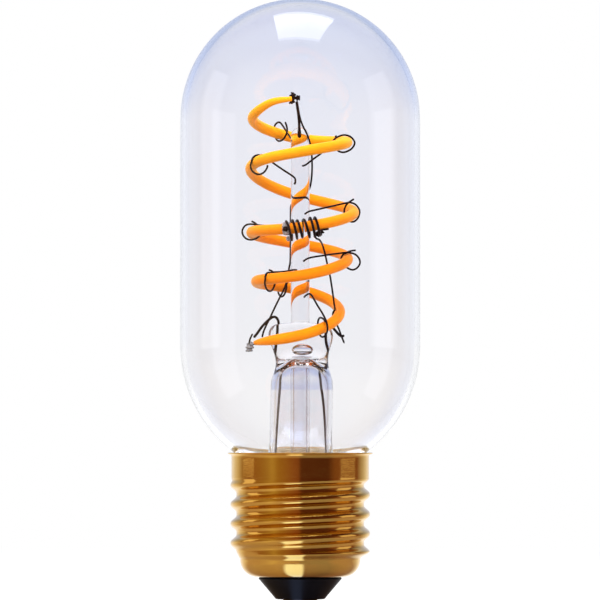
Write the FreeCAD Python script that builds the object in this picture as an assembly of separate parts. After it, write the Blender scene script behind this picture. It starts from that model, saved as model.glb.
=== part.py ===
import FreeCAD, Part

import math
import os

# A clear tubular lamp with a domed top, a screw cap and one long soft filament wound as an open
# spiral round a glass rod. Millimetres, +Z up, the origin at the bottom face of the centre contact.
# The front of the lamp, with the joint of the filament, faces -Y, and +X is to the right.

Vector = FreeCAD.Vector
Z_AXIS = Vector(0, 0, 1)
ORIGIN = Vector(0, 0, 0)

# Driving dimensions of the glass bulb
BULB_DIAMETER = 45.0
GLASS_WALL = 1.0
TUBE_LENGTH = 42.9
SHOULDER_HEIGHT = 19.8
NECK_FILLET = 1.2
FILLET_DEPTH = 1.42
NECK_DEPTH = 7.4

# Driving dimensions of the screw cap
CAP_HEIGHT = 28.4
THREAD_CREST_RADIUS = 13.08
THREAD_HEIGHT = 1.13
THREAD_PITCH = 3.629
THREAD_PHASE = 9.66
THREAD_RUN_IN = 1.9
THREAD_RUN_OUT = 1.6
SKIRT_INSET = 0.18
SKIRT_LENGTH = 5.1
LIP_WIDTH = 0.7
SHELL_WALL = 0.3
SHELL_BOTTOM = 5.15
BOTTOM_CORNER_RADIUS = 3.25
BOTTOM_CORNER_INSET = 0.7
CEMENT_WALL = 1.3
CEMENT_BASE = 0.3

# Driving dimensions of the insulator and the centre contact
CONE_WIDTH = 3.15
INSULATOR_TIP_EDGE = 0.5
INSULATOR_INSIDE_HEIGHT = 3.4
COLLAR_INSET = 0.35
CONE_GAP = 0.15
CONTACT_INSET = 1.65
CONTACT_THICKNESS = 1.0
CONTACT_EDGE = 0.5
EYELET_RADIUS = 1.2
EYELET_LENGTH = 5.5
EYELET_WALL = 0.35
EYELET_FLOOR = 0.6

# Driving dimensions of the glass stem, heights counted from the lip of the cap
STEM_TUBE_RADIUS = 5.85
STEM_TUBE_WALL = 1.0
STEM_TUBE_TOP = 13.0
PRESS_TOP = 24.4
PRESS_HALF_WIDTH = 5.8
PRESS_HALF_DEPTH = 2.0
FLARE_DEPTH = 6.4
EXHAUST_RADIUS = 1.8
EXHAUST_BORE = 1.2
EXHAUST_TOP = 15.8
EXHAUST_TAIL = 8.8
BLOW_HOLE_RADIUS = 1.75
BLOW_HOLE_HEIGHT = 19.2
ROD_RADIUS = 1.75
ROD_BOTTOM = 22.9
ROD_TOP = 61.0

# Driving dimensions of the filament and its metal ends. The stations count quarter turns, and the
# unit is the length that a 1 stands for in the routes of the filament and the wires
ROUTE_UNIT_LENGTH = 1.0
FILAMENT_DIAMETER = 2.05
FILAMENT_START = 0.18
FILAMENT_JOINT = 7.96
FILAMENT_END = 16.73
JOINT_GAP = 0.3
TAB_WALL = 0.2
TAB_OVERLAP = 0.9
TAB_CLOSURE = 0.6
TAB_STUB = 0.45
TAB_STUB_RADIUS = 0.5
CLIP_STATION = 8.22
CLIP_LENGTH = 1.3
CLIP_TAIL = 1.5

# Driving dimensions of the wires
LEAD_DIAMETER = 0.45
HOOK_DIAMETER = 0.38
COIL_WIRE_DIAMETER = 0.4
COIL_RADIUS = 1.8
COIL_PITCH = 1.18
COIL_TURNS = 5.0
HOOK_CLEARANCE = 0.36
HOOK_SIDE_SHIFT = 0.9
HOOK_ROOT = 0.5

# Driving dimensions of the driver inside the cap
BOARD_SIDE_GAP = 2.65
BOARD_HEIGHT = 10.4
BOARD_THICKNESS = 1.2
BOARD_FRONT = 2.0
BOARD_SLOT_DEPTH = 0.5
BOARD_MARGIN = 0.8
RECTIFIER_WIDTH = 4.8
RECTIFIER_HEIGHT = 3.9
RECTIFIER_THICKNESS = 1.6
CHIP_WIDTH = 5.0
CHIP_HEIGHT = 3.9
CHIP_THICKNESS = 1.5
PACKAGE_CHAMFER = 0.25
CAPACITOR_RADIUS = 3.15
CAPACITOR_LENGTH = 7.4
CAPACITOR_GROOVE = 0.25
CAPACITOR_GROOVE_HEIGHT = 1.6
RESISTOR_RADIUS = 1.2
RESISTOR_LENGTH = 6.0
RESISTOR_FILLET = 0.35
RESISTOR_OFFSET = 3.5
RESISTOR_STAND = 1.6
RESISTOR_LEAD = 0.6
LEAD_SPREAD = 5.0
LEAD_DEPTH = 1.4
LEAD_RISE = 0.9
LEAD_OVERLAP = 0.5

# Small clearances
SEAT_GAP = 0.04
SLIDE_GAP = 0.08
CLIP_GAP = 0.2

# Worked out from the driving dimensions
BULB_RADIUS = BULB_DIAMETER / 2
RIM = CAP_HEIGHT
THREAD_ROOT_RADIUS = THREAD_CREST_RADIUS - THREAD_HEIGHT
SKIRT_RADIUS = THREAD_CREST_RADIUS - SKIRT_INSET
LIP_RADIUS = SKIRT_RADIUS + LIP_WIDTH
CORNER_OUTER = THREAD_ROOT_RADIUS - BOTTOM_CORNER_INSET
BOTTOM_HOLE_RADIUS = CORNER_OUTER - BOTTOM_CORNER_RADIUS
INSULATOR_TIP_RADIUS = BOTTOM_HOLE_RADIUS - CONE_WIDTH
CONTACT_RADIUS = INSULATOR_TIP_RADIUS - CONTACT_INSET
TUBE_BOTTOM = RIM + SHOULDER_HEIGHT
TUBE_TOP = TUBE_BOTTOM + TUBE_LENGTH
NECK_BOTTOM = RIM - NECK_DEPTH
NECK_RADIUS = SKIRT_RADIUS - SHELL_WALL - CEMENT_WALL
NECK_BORE = NECK_RADIUS - GLASS_WALL
FILAMENT_RADIUS = FILAMENT_DIAMETER / 2
HOOK_RADIUS = FILAMENT_RADIUS + HOOK_CLEARANCE + HOOK_DIAMETER / 2
THREAD_MEAN = (THREAD_CREST_RADIUS + THREAD_ROOT_RADIUS) / 2
THREAD_DEPTH = (THREAD_CREST_RADIUS - THREAD_ROOT_RADIUS) / 2
THREAD_TOP = RIM - SKIRT_LENGTH
CORNER_HEIGHT = SHELL_BOTTOM + BOTTOM_CORNER_RADIUS
INSULATOR_TOP = SHELL_BOTTOM + INSULATOR_INSIDE_HEIGHT
BOARD_WIDTH = 2 * (THREAD_ROOT_RADIUS - SHELL_WALL - BOARD_SIDE_GAP)
BOARD_BOTTOM = INSULATOR_TOP - BOARD_SLOT_DEPTH
BOARD_TOP = BOARD_BOTTOM + BOARD_HEIGHT
LEAD_ON_BOARD = BOARD_FRONT - LEAD_DIAMETER / 2
RESISTOR_FOOT = INSULATOR_TOP + RESISTOR_STAND

# Places on the board, as shares of its width from its middle and of its height from its bottom
RECTIFIER_ACROSS = 0.22
RECTIFIER_UP = 0.46
CHIP_UP = 0.29
RESISTOR_WIRE_ACROSS = 0.39

# Points of the shell's surface: columns round the axis, and rows in one pitch of the thread
SHELL_COLUMNS = 16
THREAD_ROWS = 6

# Quarter turns of the filament from the front, going to the left: radius, height above the lip
FILAMENT_STATIONS = [
    (5.0, 66.4), (8.9, 63.0), (9.0, 59.4), (8.8, 58.2),
    (9.0, 55.9), (9.3, 53.2), (9.6, 48.5), (10.0, 45.0),
    (9.6, 41.8), (9.1, 41.2), (9.0, 39.4), (8.9, 36.3),
    (8.8, 32.9), (8.2, 32.0), (8.0, 30.7), (7.4, 26.4),
    (8.4, 21.8), (9.5, 20.1),
]

# Support hooks: station on the filament, height on the rod, knees as (radius, height) and the
# tilt of the loop's start, where 0 reaches it from above and 1 from the side of the rod
SUPPORT_HOOKS = [
    (1.70, 58.8, [], 1),
    (3.08, 53.8, [(2.1, 54.7), (3.9, 56.2)], 1),
    (4.63, 51.1, [(3.4, 53.1)], 1),
    (6.95, 44.7, [(2.0, 45.3)], 0),
    (9.00, 42.3, [(3.8, 42.4)], 0),
    (11.05, 35.9, [(2.2, 36.7)], 0),
    (12.50, 34.2, [(3.0, 34.0)], 0),
    (13.72, 31.6, [(3.4, 31.6)], 0),
    (15.66, 29.2, [(2.2, 29.4), (4.2, 26.4)], 1),
]


def polar(radius, degrees, height):
    """Return the point at a radius and an angle from +X, at a height."""
    turn = math.radians(degrees)
    return Vector(radius * math.cos(turn), radius * math.sin(turn), height)


def on_circle(centre, radius, degrees):
    """Return the point of an outline on a circle in the plane of radius and height."""
    turn = math.radians(degrees)
    return (centre[0] + radius * math.cos(turn), centre[1] + radius * math.sin(turn))


def profile_point(place):
    """Return the 3-D point of an outline's (radius, height)."""
    return Vector(place[0], 0, place[1])


def outline(start, steps):
    """Return a closed outline from a start point and steps of one point (line) or two (arc)."""
    edges = []
    here = profile_point(start)
    for step in steps:
        if len(step) == 1:
            there = profile_point(step[0])
            edges.append(Part.LineSegment(here, there).toShape())
        else:
            there = profile_point(step[1])
            edges.append(Part.Arc(here, profile_point(step[0]), there).toShape())
        here = there
    edges.append(Part.LineSegment(here, profile_point(start)).toShape())
    return Part.Wire(edges)


def turned(start, steps):
    """Return the solid that an outline makes when it turns once round the Z axis."""
    return Part.Face(outline(start, steps)).revolve(ORIGIN, Z_AXIS, 360)


def rod_between(start, end, radius):
    """Return a cylinder from one point to another."""
    return Part.makeCylinder(radius, (end - start).Length, start, end - start)


def block(low, high):
    """Return a box between two corners."""
    return Part.makeBox(high[0] - low[0], high[1] - low[1], high[2] - low[2], Vector(*low))


def bent_path(points, fill=0.45):
    """Return straight runs joined by tangent arcs, each arc using a share of its shorter run.

    The first and the last run have an arc at one end only, so they count as twice as long.
    """
    runs = [(there - here).Length for here, there in zip(points, points[1:])]
    runs[0] *= 2
    runs[-1] *= 2
    edges = []
    here = points[0]
    for index, corner in enumerate(points[1:-1]):
        came = (corner - points[index]).normalize()
        goes = (points[index + 2] - corner).normalize()
        half_turn = came.getAngle(goes) / 2
        reach = fill * min(runs[index], runs[index + 1])
        radius = reach / math.tan(half_turn)
        inward = (goes - came).normalize()
        start = corner - came * reach
        middle = corner + inward * (radius / math.cos(half_turn) - radius)
        end = corner + goes * reach
        if (start - here).Length > 1e-5:
            edges.append(Part.LineSegment(here, start).toShape())
        edges.append(Part.Arc(start, middle, end).toShape())
        here = end
    if (points[-1] - here).Length > 1e-5:
        edges.append(Part.LineSegment(here, points[-1]).toShape())
    return Part.Wire(edges)


def round_bar(points, diameter, fill=0.45):
    """Return a round wire of one diameter along a bent path."""
    path = bent_path(points, fill)
    ring = Part.Wire(Part.Circle(points[0], points[1] - points[0], diameter / 2).toShape())
    return path.makePipeShell([ring], True, False)


def above_rim(points):
    """Return points of a route, its heights counted from the lip of the cap, as points of the lamp."""
    return [Vector(x, y, z) * ROUTE_UNIT_LENGTH + Z_AXIS * RIM for x, y, z in points]


# The filament


def filament_point(station, spread=1.0):
    """Return a point of the filament's axis, its radius multiplied by a spread."""
    last = len(FILAMENT_STATIONS) - 1
    index = min(int(station), last - 1)
    share = station - index
    rows = [FILAMENT_STATIONS[max(0, min(last, index + step))] for step in (-1, 0, 1, 2)]
    values = []
    for before, here, there, after in zip(*rows):
        leaving = (there - before) / 2
        arriving = (after - here) / 2
        bend = (2 * here - 2 * there + leaving + arriving) * share ** 3
        curve = (3 * there - 3 * here - 2 * leaving - arriving) * share ** 2
        values.append(bend + curve + leaving * share + here)
    radius, height = [value * ROUTE_UNIT_LENGTH for value in values]
    return polar(radius * spread, 270 - 90 * station, RIM + height)


def filament_direction(station):
    """Return the direction in which the filament runs at a station."""
    step = 0.02
    return (filament_point(station + step) - filament_point(station - step)).normalize()


def station_span(length, station):
    """Return how many stations a length along the filament takes at a station."""
    step = 0.02
    run = (filament_point(station + step) - filament_point(station - step)).Length
    return length * 2 * step / run


def filament_route(start, end):
    """Return the corners of a path that touches the filament's spiral twice a quarter turn."""
    count = math.ceil((end - start) * 2)
    step = (end - start) / count
    spread = 1 / math.cos(math.radians(45 * step))
    corners = [filament_point(start + step * (index + 0.5), spread) for index in range(count)]
    return [filament_point(start)] + corners + [filament_point(end)]


def make_filament(start, end):
    """Return one soft filament between two stations of the spiral."""
    return round_bar(filament_route(start, end), FILAMENT_DIAMETER, 0.4999)


def make_end_tab(station, way):
    """Return a metal sleeve over a filament's end, with a short stub beyond it."""
    end = filament_point(station)
    outward = filament_direction(station) * way
    mouth = end - outward * TAB_OVERLAP
    closed = end + outward * TAB_CLOSURE
    stub = closed + outward * TAB_STUB
    sleeve = rod_between(mouth, closed, FILAMENT_RADIUS + SLIDE_GAP + TAB_WALL)
    bore = rod_between(mouth, end + outward * SEAT_GAP, FILAMENT_RADIUS + SLIDE_GAP)
    return sleeve.cut(bore).fuse(rod_between(closed, stub, TAB_STUB_RADIUS)).removeSplitter()


def make_joint_clip():
    """Return the metal strip wrapped round the filament beside the joint coil."""
    along = filament_direction(CLIP_STATION)
    middle = filament_point(CLIP_STATION)
    start = middle - along * (CLIP_LENGTH / 2)
    end = middle + along * (CLIP_LENGTH / 2)
    bore_radius = FILAMENT_RADIUS + CLIP_GAP
    bottom = middle - Z_AXIS * (bore_radius + CLIP_TAIL)
    tail = rod_between(bottom, middle, CLIP_LENGTH / 2)
    clip = rod_between(start, end, bore_radius + TAB_WALL).fuse(tail)
    return clip.cut(rod_between(start - along, end + along, bore_radius)).removeSplitter()


def coil_corner(turn):
    """Return a corner of the joint coil's path, which has six to a turn."""
    half_length = COIL_TURNS * COIL_PITCH / 2
    middle = filament_point(FILAMENT_JOINT)
    along = filament_direction(FILAMENT_JOINT) * -1
    outward = Vector(middle.x, middle.y, 0).normalize()
    sagitta = half_length ** 2 / (4 * Vector(middle.x, middle.y, 0).Length)
    upward = along.cross(outward) * -1
    centre = middle - outward * sagitta + along * (turn * COIL_PITCH - half_length)
    angle = math.radians(360 * turn)
    reach = COIL_RADIUS / math.cos(math.radians(30))
    return centre + outward * (reach * math.sin(angle)) + upward * (reach * math.cos(angle))


def make_joint_coil():
    """Return the wire wound over the joint of the two filaments."""
    count = int(COIL_TURNS * 6)
    corners = [coil_corner(index / 6) for index in range(count + 1)]
    return round_bar(corners, COIL_WIRE_DIAMETER, 0.4999)


# The wires


def hook_frame(station):
    """Return the outward direction and the sideways direction of a hook at a station."""
    place = filament_point(station)
    outward = Vector(place.x, place.y, 0).normalize()
    return outward, Z_AXIS.cross(outward)


def make_support_hook(station, rod_height, knees, from_side):
    """Return a wire from inside the rod that loops once round the filament."""
    centre = filament_point(station)
    outward, sideways = hook_frame(station)
    side = sideways * (-HOOK_SIDE_SHIFT / 2) + Z_AXIS * RIM
    points = [outward * HOOK_ROOT + Z_AXIS * (rod_height * ROUTE_UNIT_LENGTH) + side]
    for radius, height in knees:
        points.append((outward * radius + Z_AXIS * height) * ROUTE_UNIT_LENGTH + side)
    step = 45
    reach = HOOK_RADIUS / math.cos(math.radians(step / 2))
    count = 7 + from_side
    for index in range(count + 1):
        angle = math.radians(step * (2.5 + from_side - index))
        around = outward * (reach * math.cos(angle)) + Z_AXIS * (reach * math.sin(angle))
        points.append(centre + around + sideways * (HOOK_SIDE_SHIFT * (index / count - 0.5)))
    return round_bar(points, HOOK_DIAMETER)


def board_joint(across):
    """Return the two points of a lead that is soldered to the front of the board and leaves it upwards."""
    return [Vector(across, LEAD_ON_BOARD, BOARD_TOP - LEAD_DEPTH),
            Vector(across, LEAD_ON_BOARD, BOARD_TOP + LEAD_RISE)]


def make_left_lead():
    """Return the lead from the board through the press to the filament's bottom end."""
    route = above_rim([
        (-4.4, 0, -4.0), (-4.4, 0, 0.3), (-4.2, 0, 6.5), (-3.6, 0, 12.6),
        (-4.0, 0, 15.4), (-4.6, 0, 16.9), (-4.4, 0, 19.7), (-4.1, 0, 22.3), (-4.05, -0.3, 24.8),
        (-5.0, -1.4, 25.9), (-7.3, -3.0, 23.7), (-8.6, -3.4, 21.75),
    ])
    return round_bar(board_joint(-LEAD_SPREAD) + route, LEAD_DIAMETER)


def make_right_lead():
    """Return the lead from the board through the press to the end of the centre feed wire."""
    route = above_rim([
        (4.5, 0, -4.0), (4.5, 0, 0.3), (4.3, 0, 8.0), (3.7, 0, 13.2),
        (4.1, 0, 16.0), (4.9, 0, 17.2), (4.9, 0, 18.8), (4.5, 0, 20.9), (4.6, 0, 23.2),
        (5.6, -0.2, 24.5), (7.3, -0.5, 21.9), (8.3, -0.6, 21.8),
    ])
    return round_bar(board_joint(LEAD_SPREAD) + route, LEAD_DIAMETER)


def make_centre_feed():
    """Return the wire from the joint coil down to the right lead."""
    return round_bar(above_rim([
        (3.7, -8.6, 40.4), (4.1, -7.2, 38.9), (4.7, -5.2, 36.6), (5.1, -4.0, 33.4),
        (5.6, -2.9, 30.0), (5.9, -1.4, 27.0), (6.2, -0.9, 24.3), (7.3, -1.0, 22.0), (8.0, -1.1, 20.4),
    ]), HOOK_DIAMETER)


def make_top_support():
    """Return the wire from the rod's top to the filament's top end."""
    return round_bar(above_rim([
        (-0.2, 0, 59.2), (-0.2, 0, 61.2), (-0.3, -1.6, 63.3), (-0.35, -3.4, 65.2), (0.0, -4.8, 66.0),
    ]), HOOK_DIAMETER)


def make_return_wire():
    """Return the wire from the top end down the rod's right side, round behind it and down its left."""
    side = (ROD_RADIUS + HOOK_DIAMETER / 2 + SLIDE_GAP) / ROUTE_UNIT_LENGTH
    slant = side * math.cos(math.radians(45)) / math.cos(math.radians(22.5))
    left, behind = side * math.cos(math.radians(30)), side * math.sin(math.radians(30))
    return round_bar(above_rim([
        (0.25, -2.7, 64.0), (0.5, -1.95, 62.2), (1.2, -1.5, 60.2), (side, -0.8, 58.4),
        (side, 0.3, 56.0), (side, 0.5, 53.4), (side, 0.8, 49.6), (slant, slant, 47.9),
        (0, side * 1.1, 47.2), (-slant, slant, 46.5), (-left, behind, 45.0), (-left, behind, 36.6),
        (-2.2, 1.0, 33.8), (-3.0, 0.6, 31.2), (-4.2, 0.0, 28.6), (-5.5, -1.0, 25.9),
        (-6.5, -1.9, 23.9), (-7.2, -2.3, 21.8),
    ]), HOOK_DIAMETER)


# The glass


def make_glass_envelope():
    """Return the blown bulb: dome, tube, shoulder and neck with one wall.

    The shoulder's arc leaves the tube without a kink and meets the fillet of the neck, whose centre
    lies at the fillet's depth under the lip.
    """
    fillet = (NECK_RADIUS + NECK_FILLET, RIM - FILLET_DEPTH)
    drop = TUBE_BOTTOM - fillet[1]
    inset = BULB_RADIUS - fillet[0]
    shoulder_radius = (inset ** 2 + drop ** 2 - NECK_FILLET ** 2) / (2 * (NECK_FILLET + inset))
    shoulder = (BULB_RADIUS - shoulder_radius, TUBE_BOTTOM)
    slope = math.degrees(math.atan2(-drop, fillet[0] - shoulder[0]))
    dome = (0, TUBE_TOP)
    inside = BULB_RADIUS - GLASS_WALL
    inner_shoulder = shoulder_radius - GLASS_WALL
    inner_fillet = NECK_FILLET + GLASS_WALL
    return turned((NECK_BORE, NECK_BOTTOM), [
        [(NECK_RADIUS, NECK_BOTTOM)],
        [(NECK_RADIUS, fillet[1])],
        [on_circle(fillet, NECK_FILLET, 180 + slope / 2), on_circle(fillet, NECK_FILLET, 180 + slope)],
        [on_circle(shoulder, shoulder_radius, slope / 2), (BULB_RADIUS, TUBE_BOTTOM)],
        [(BULB_RADIUS, TUBE_TOP)],
        [on_circle(dome, BULB_RADIUS, 45), (0, TUBE_TOP + BULB_RADIUS)],
        [(0, TUBE_TOP + inside)],
        [on_circle(dome, inside, 45), (inside, TUBE_TOP)],
        [(inside, TUBE_BOTTOM)],
        [on_circle(shoulder, inner_shoulder, slope / 2), on_circle(shoulder, inner_shoulder, slope)],
        [on_circle(fillet, inner_fillet, 180 + slope / 2), (NECK_BORE, fillet[1])],
    ])


def stem_section(half_width, half_depth, squareness, height):
    """Return a rounded outline of the stem: a circle at squareness 2, squarer above it."""
    count = 12
    points = []
    for index in range(count):
        turn = 2 * math.pi * index / count
        c = math.cos(turn)
        s = math.sin(turn)
        reach = (abs(c) ** squareness + abs(s) ** squareness) ** (-1 / squareness)
        points.append(Vector(half_width * reach * c, half_depth * reach * s, RIM + height))
    curve = Part.BSplineCurve()
    curve.interpolate(points, PeriodicFlag=True)
    return Part.Wire(curve.toShape())


def make_exhaust_tube():
    """Return the thin tube under the press, open at the top and tipped off at the bottom."""
    top = RIM + EXHAUST_TOP
    bottom = RIM - EXHAUST_TAIL
    wall = EXHAUST_RADIUS - EXHAUST_BORE
    tip = (0, bottom + EXHAUST_RADIUS)
    return turned((0, bottom), [
        [on_circle(tip, EXHAUST_RADIUS, -45), (EXHAUST_RADIUS, tip[1])],
        [(EXHAUST_RADIUS, top)],
        [(EXHAUST_BORE, top)],
        [(EXHAUST_BORE, tip[1] + wall)],
        [on_circle((0, tip[1] + wall), EXHAUST_BORE, -45), (0, tip[1] + wall - EXHAUST_BORE)],
    ])


def make_glass_rod():
    """Return the rod that stands in the press, rounded at its top."""
    shoulder = RIM + ROD_TOP - ROD_RADIUS
    return turned((0, RIM + ROD_BOTTOM), [
        [(ROD_RADIUS, RIM + ROD_BOTTOM)],
        [(ROD_RADIUS, shoulder)],
        [on_circle((0, shoulder), ROD_RADIUS, 45), (0, shoulder + ROD_RADIUS)],
    ])


def make_stem_flare(seated):
    """Return the flared tube and its press, cut for the pieces that are sealed into it."""
    tube = STEM_TUBE_RADIUS
    flare = NECK_RADIUS - tube
    rows = [
        (NECK_RADIUS, NECK_RADIUS, 2, -FLARE_DEPTH),
        (tube + flare * 0.45, tube + flare * 0.45, 2, -FLARE_DEPTH + 1.8),
        (tube + flare * 0.13, tube + flare * 0.13, 2, -FLARE_DEPTH + 4.6),
        (tube, tube, 2, -FLARE_DEPTH + 8.4),
        (tube, tube, 2, STEM_TUBE_TOP - 6),
        (tube, tube, 2, STEM_TUBE_TOP),
        (tube * 0.97, tube * 0.9, 2.1, STEM_TUBE_TOP + 2.0),
        (tube * 0.92, PRESS_HALF_DEPTH * 1.6, 2.5, STEM_TUBE_TOP + 4.4),
        (PRESS_HALF_WIDTH * 0.97, PRESS_HALF_DEPTH, 3, STEM_TUBE_TOP + 7.4),
        (PRESS_HALF_WIDTH, PRESS_HALF_DEPTH, 3, PRESS_TOP - 1.6),
        (PRESS_HALF_WIDTH * 0.9, PRESS_HALF_DEPTH * 0.75, 2.6, PRESS_TOP),
    ]
    foot = Vector(0, 0, RIM - FLARE_DEPTH)
    body = Part.makeLoft([stem_section(*row) for row in rows], True, False)
    body = body.common(Part.makeCylinder(NECK_BORE, PRESS_TOP + FLARE_DEPTH, foot))
    bore = tube - STEM_TUBE_WALL
    mouth = NECK_BORE - STEM_TUBE_WALL * 0.8
    ceiling = RIM + STEM_TUBE_TOP - 0.6
    cavity = turned((0, RIM - FLARE_DEPTH), [
        [(mouth, RIM - FLARE_DEPTH)],
        [(bore + (mouth - bore) * 0.33, RIM - FLARE_DEPTH + 2.4), (bore, RIM - FLARE_DEPTH + 8.4)],
        [(bore, ceiling)],
        [(bore * 0.82, ceiling + 1.7), (EXHAUST_RADIUS, ceiling + 2.4)],
        [(0, ceiling + 2.4)],
    ])
    hole_centre = Vector(0, -BLOW_HOLE_RADIUS / 2, RIM + BLOW_HOLE_HEIGHT)
    passage_foot = Vector(0, 0, RIM + EXHAUST_TOP)
    passage = Part.makeCylinder(EXHAUST_BORE, BLOW_HOLE_HEIGHT - EXHAUST_TOP, passage_foot)
    blow_hole = Part.makeSphere(BLOW_HOLE_RADIUS, hole_centre).fuse(passage)
    return body.cut([cavity, blow_hole] + seated)


# The cap


def smooth_step(share):
    """Return a share between 0 and 1 eased at both ends."""
    share = min(1, max(0, share))
    return share * share * (3 - 2 * share)


def shell_side(height):
    """Return the shell's outer radius without its thread and the thread's share at a height."""
    run_in = smooth_step((THREAD_TOP - height) / THREAD_RUN_IN)
    run_out = smooth_step((height - CORNER_HEIGHT) / THREAD_RUN_OUT)
    radius = SKIRT_RADIUS + (THREAD_MEAN - SKIRT_RADIUS) * run_in
    radius += (CORNER_OUTER - THREAD_MEAN) * (1 - run_out)
    return radius, run_in * run_out


def rolled_surface(section):
    """Return the surface of a rolled section (radius, height, share of thread) round the Z axis.

    The section's points and the same points at each of the columns round the axis are the poles of
    a smooth surface. The thread moves the points in and out by a wave that climbs one pitch a turn.
    """
    round_gain = 3 / (2 + math.cos(2 * math.pi / SHELL_COLUMNS))
    wave_gain = 3 / (2 + math.cos(2 * math.pi / THREAD_ROWS))
    poles = []
    for index in range(SHELL_COLUMNS):
        turn = 2 * math.pi * index / SHELL_COLUMNS
        row = []
        for radius, height, share in section:
            wave = math.cos(2 * math.pi * (height - THREAD_PHASE) / THREAD_PITCH - turn)
            reach = (radius + THREAD_DEPTH * wave_gain * share * wave) * round_gain
            row.append(Vector(reach * math.cos(turn), reach * math.sin(turn), height))
        poles.append(row)
    around = list(range(SHELL_COLUMNS + 1))
    along = list(range(len(section) - 2))
    repeats = [4] + [1] * (len(along) - 2) + [4]
    surface = Part.BSplineSurface()
    surface.buildFromPolesMultsKnots(
        poles, [1] * len(around), repeats, around, along, True, False, 3, 3)
    return surface.toShape()


def rolled_corner(radius):
    """Return the points of the shell's bottom corner on an arc of one radius."""
    centre = (BOTTOM_HOLE_RADIUS, CORNER_HEIGHT)
    step = 22.5
    gain = 3 / (2 + math.cos(math.radians(step)))
    return [on_circle(centre, radius * gain, -step * index) + (0,) for index in (1, 2, 3)]


def make_screw_shell():
    """Return the rolled shell: lip, skirt, thread and turned-in bottom, all of one thin wall."""
    count = int((THREAD_TOP - CORNER_HEIGHT) / THREAD_PITCH * THREAD_ROWS)
    side = []
    for index in range(count + 1):
        height = THREAD_TOP - (THREAD_TOP - CORNER_HEIGHT) * index / count
        radius, share = shell_side(height)
        side.append((radius, height, share))
    skirt = [(SKIRT_RADIUS, RIM - SKIRT_LENGTH * share, 0) for share in (0.18, 0.5, 0.8)]
    lip = (LIP_RADIUS, RIM, 0)
    hem = (BOTTOM_HOLE_RADIUS, SHELL_BOTTOM, 0)
    outside = [lip, (LIP_RADIUS - 0.1, RIM - 0.2, 0), (SKIRT_RADIUS + 0.1, RIM - 0.6, 0)] + skirt + side
    outside += rolled_corner(BOTTOM_CORNER_RADIUS) + [(BOTTOM_HOLE_RADIUS + 0.3, SHELL_BOTTOM, 0), hem]
    inside = [(radius - SHELL_WALL, height, share) for radius, height, share in skirt + side]
    inside = [lip, (LIP_RADIUS - 0.2, RIM + 0.02, 0), (SKIRT_RADIUS - SHELL_WALL, RIM - 0.4, 0)] + inside
    inside += rolled_corner(BOTTOM_CORNER_RADIUS - SHELL_WALL)
    inside += [(BOTTOM_HOLE_RADIUS + 0.3, SHELL_BOTTOM + SHELL_WALL, 0),
               (BOTTOM_HOLE_RADIUS, SHELL_BOTTOM + SHELL_WALL, 0), hem]
    walls = Part.makeShell([rolled_surface(outside), rolled_surface(inside)])
    walls.sewShape()
    return Part.makeSolid(walls)


def make_cap_cement():
    """Return the ring of cement between the neck and the skirt of the shell."""
    outer = SKIRT_RADIUS - SHELL_WALL - SEAT_GAP
    bottom = THREAD_TOP + CEMENT_BASE
    top = RIM - FILLET_DEPTH - SEAT_GAP
    return turned((NECK_RADIUS, bottom), [[(outer, bottom)], [(outer, top)], [(NECK_RADIUS, top)]])


def make_cap_insulator(board_slot):
    """Return the black cone in the bottom of the shell, with a slot for the board."""
    corner = (BOTTOM_HOLE_RADIUS, CORNER_HEIGHT)
    seat = BOTTOM_CORNER_RADIUS - SHELL_WALL - SEAT_GAP * 3
    tip_height = CONTACT_THICKNESS
    collar = BOTTOM_HOLE_RADIUS - COLLAR_INSET
    hole = EYELET_RADIUS + SEAT_GAP
    edge_corner = (INSULATOR_TIP_RADIUS - INSULATOR_TIP_EDGE, tip_height + INSULATOR_TIP_EDGE)
    body = turned((hole, tip_height), [
        [(edge_corner[0], tip_height)],
        [on_circle(edge_corner, INSULATOR_TIP_EDGE, -60), on_circle(edge_corner, INSULATOR_TIP_EDGE, -30)],
        [(BOTTOM_HOLE_RADIUS, SHELL_BOTTOM - CONE_GAP)],
        [(collar, SHELL_BOTTOM - CONE_GAP)],
        [(collar, CORNER_HEIGHT - seat)],
        [on_circle(corner, seat, -55), on_circle(corner, seat, -20)],
        [(corner[0] + seat * math.cos(math.radians(20)), INSULATOR_TOP)],
        [(hole, INSULATOR_TOP)],
    ])
    return body.cut(board_slot)


def make_centre_contact():
    """Return the contact: a flat disc and the hollow eyelet that holds it in the insulator."""
    edge = (CONTACT_RADIUS - CONTACT_EDGE, CONTACT_EDGE)
    bore = EYELET_RADIUS - EYELET_WALL
    top = CONTACT_THICKNESS + EYELET_LENGTH
    return turned((0, 0), [
        [(edge[0], 0)],
        [on_circle(edge, CONTACT_EDGE, -45), (CONTACT_RADIUS, CONTACT_EDGE)],
        [(CONTACT_RADIUS, CONTACT_THICKNESS)],
        [(EYELET_RADIUS, CONTACT_THICKNESS)],
        [(EYELET_RADIUS, top)],
        [(bore, top)],
        [(bore, EYELET_FLOOR)],
        [(0, EYELET_FLOOR)],
    ])


def make_contact_solder(wire):
    """Return the solder that fills the foot of the eyelet round its wire."""
    bore = EYELET_RADIUS - EYELET_WALL
    solder = Part.makeCylinder(bore, EYELET_LENGTH * 0.4, Vector(0, 0, EYELET_FLOOR))
    return solder.cut(wire)


# The driver inside the cap


def make_driver_board():
    """Return the board that stands in the insulator's slot."""
    return block((-BOARD_WIDTH / 2, BOARD_FRONT, BOARD_BOTTOM),
                 (BOARD_WIDTH / 2, BOARD_FRONT + BOARD_THICKNESS, BOARD_TOP))


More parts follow.
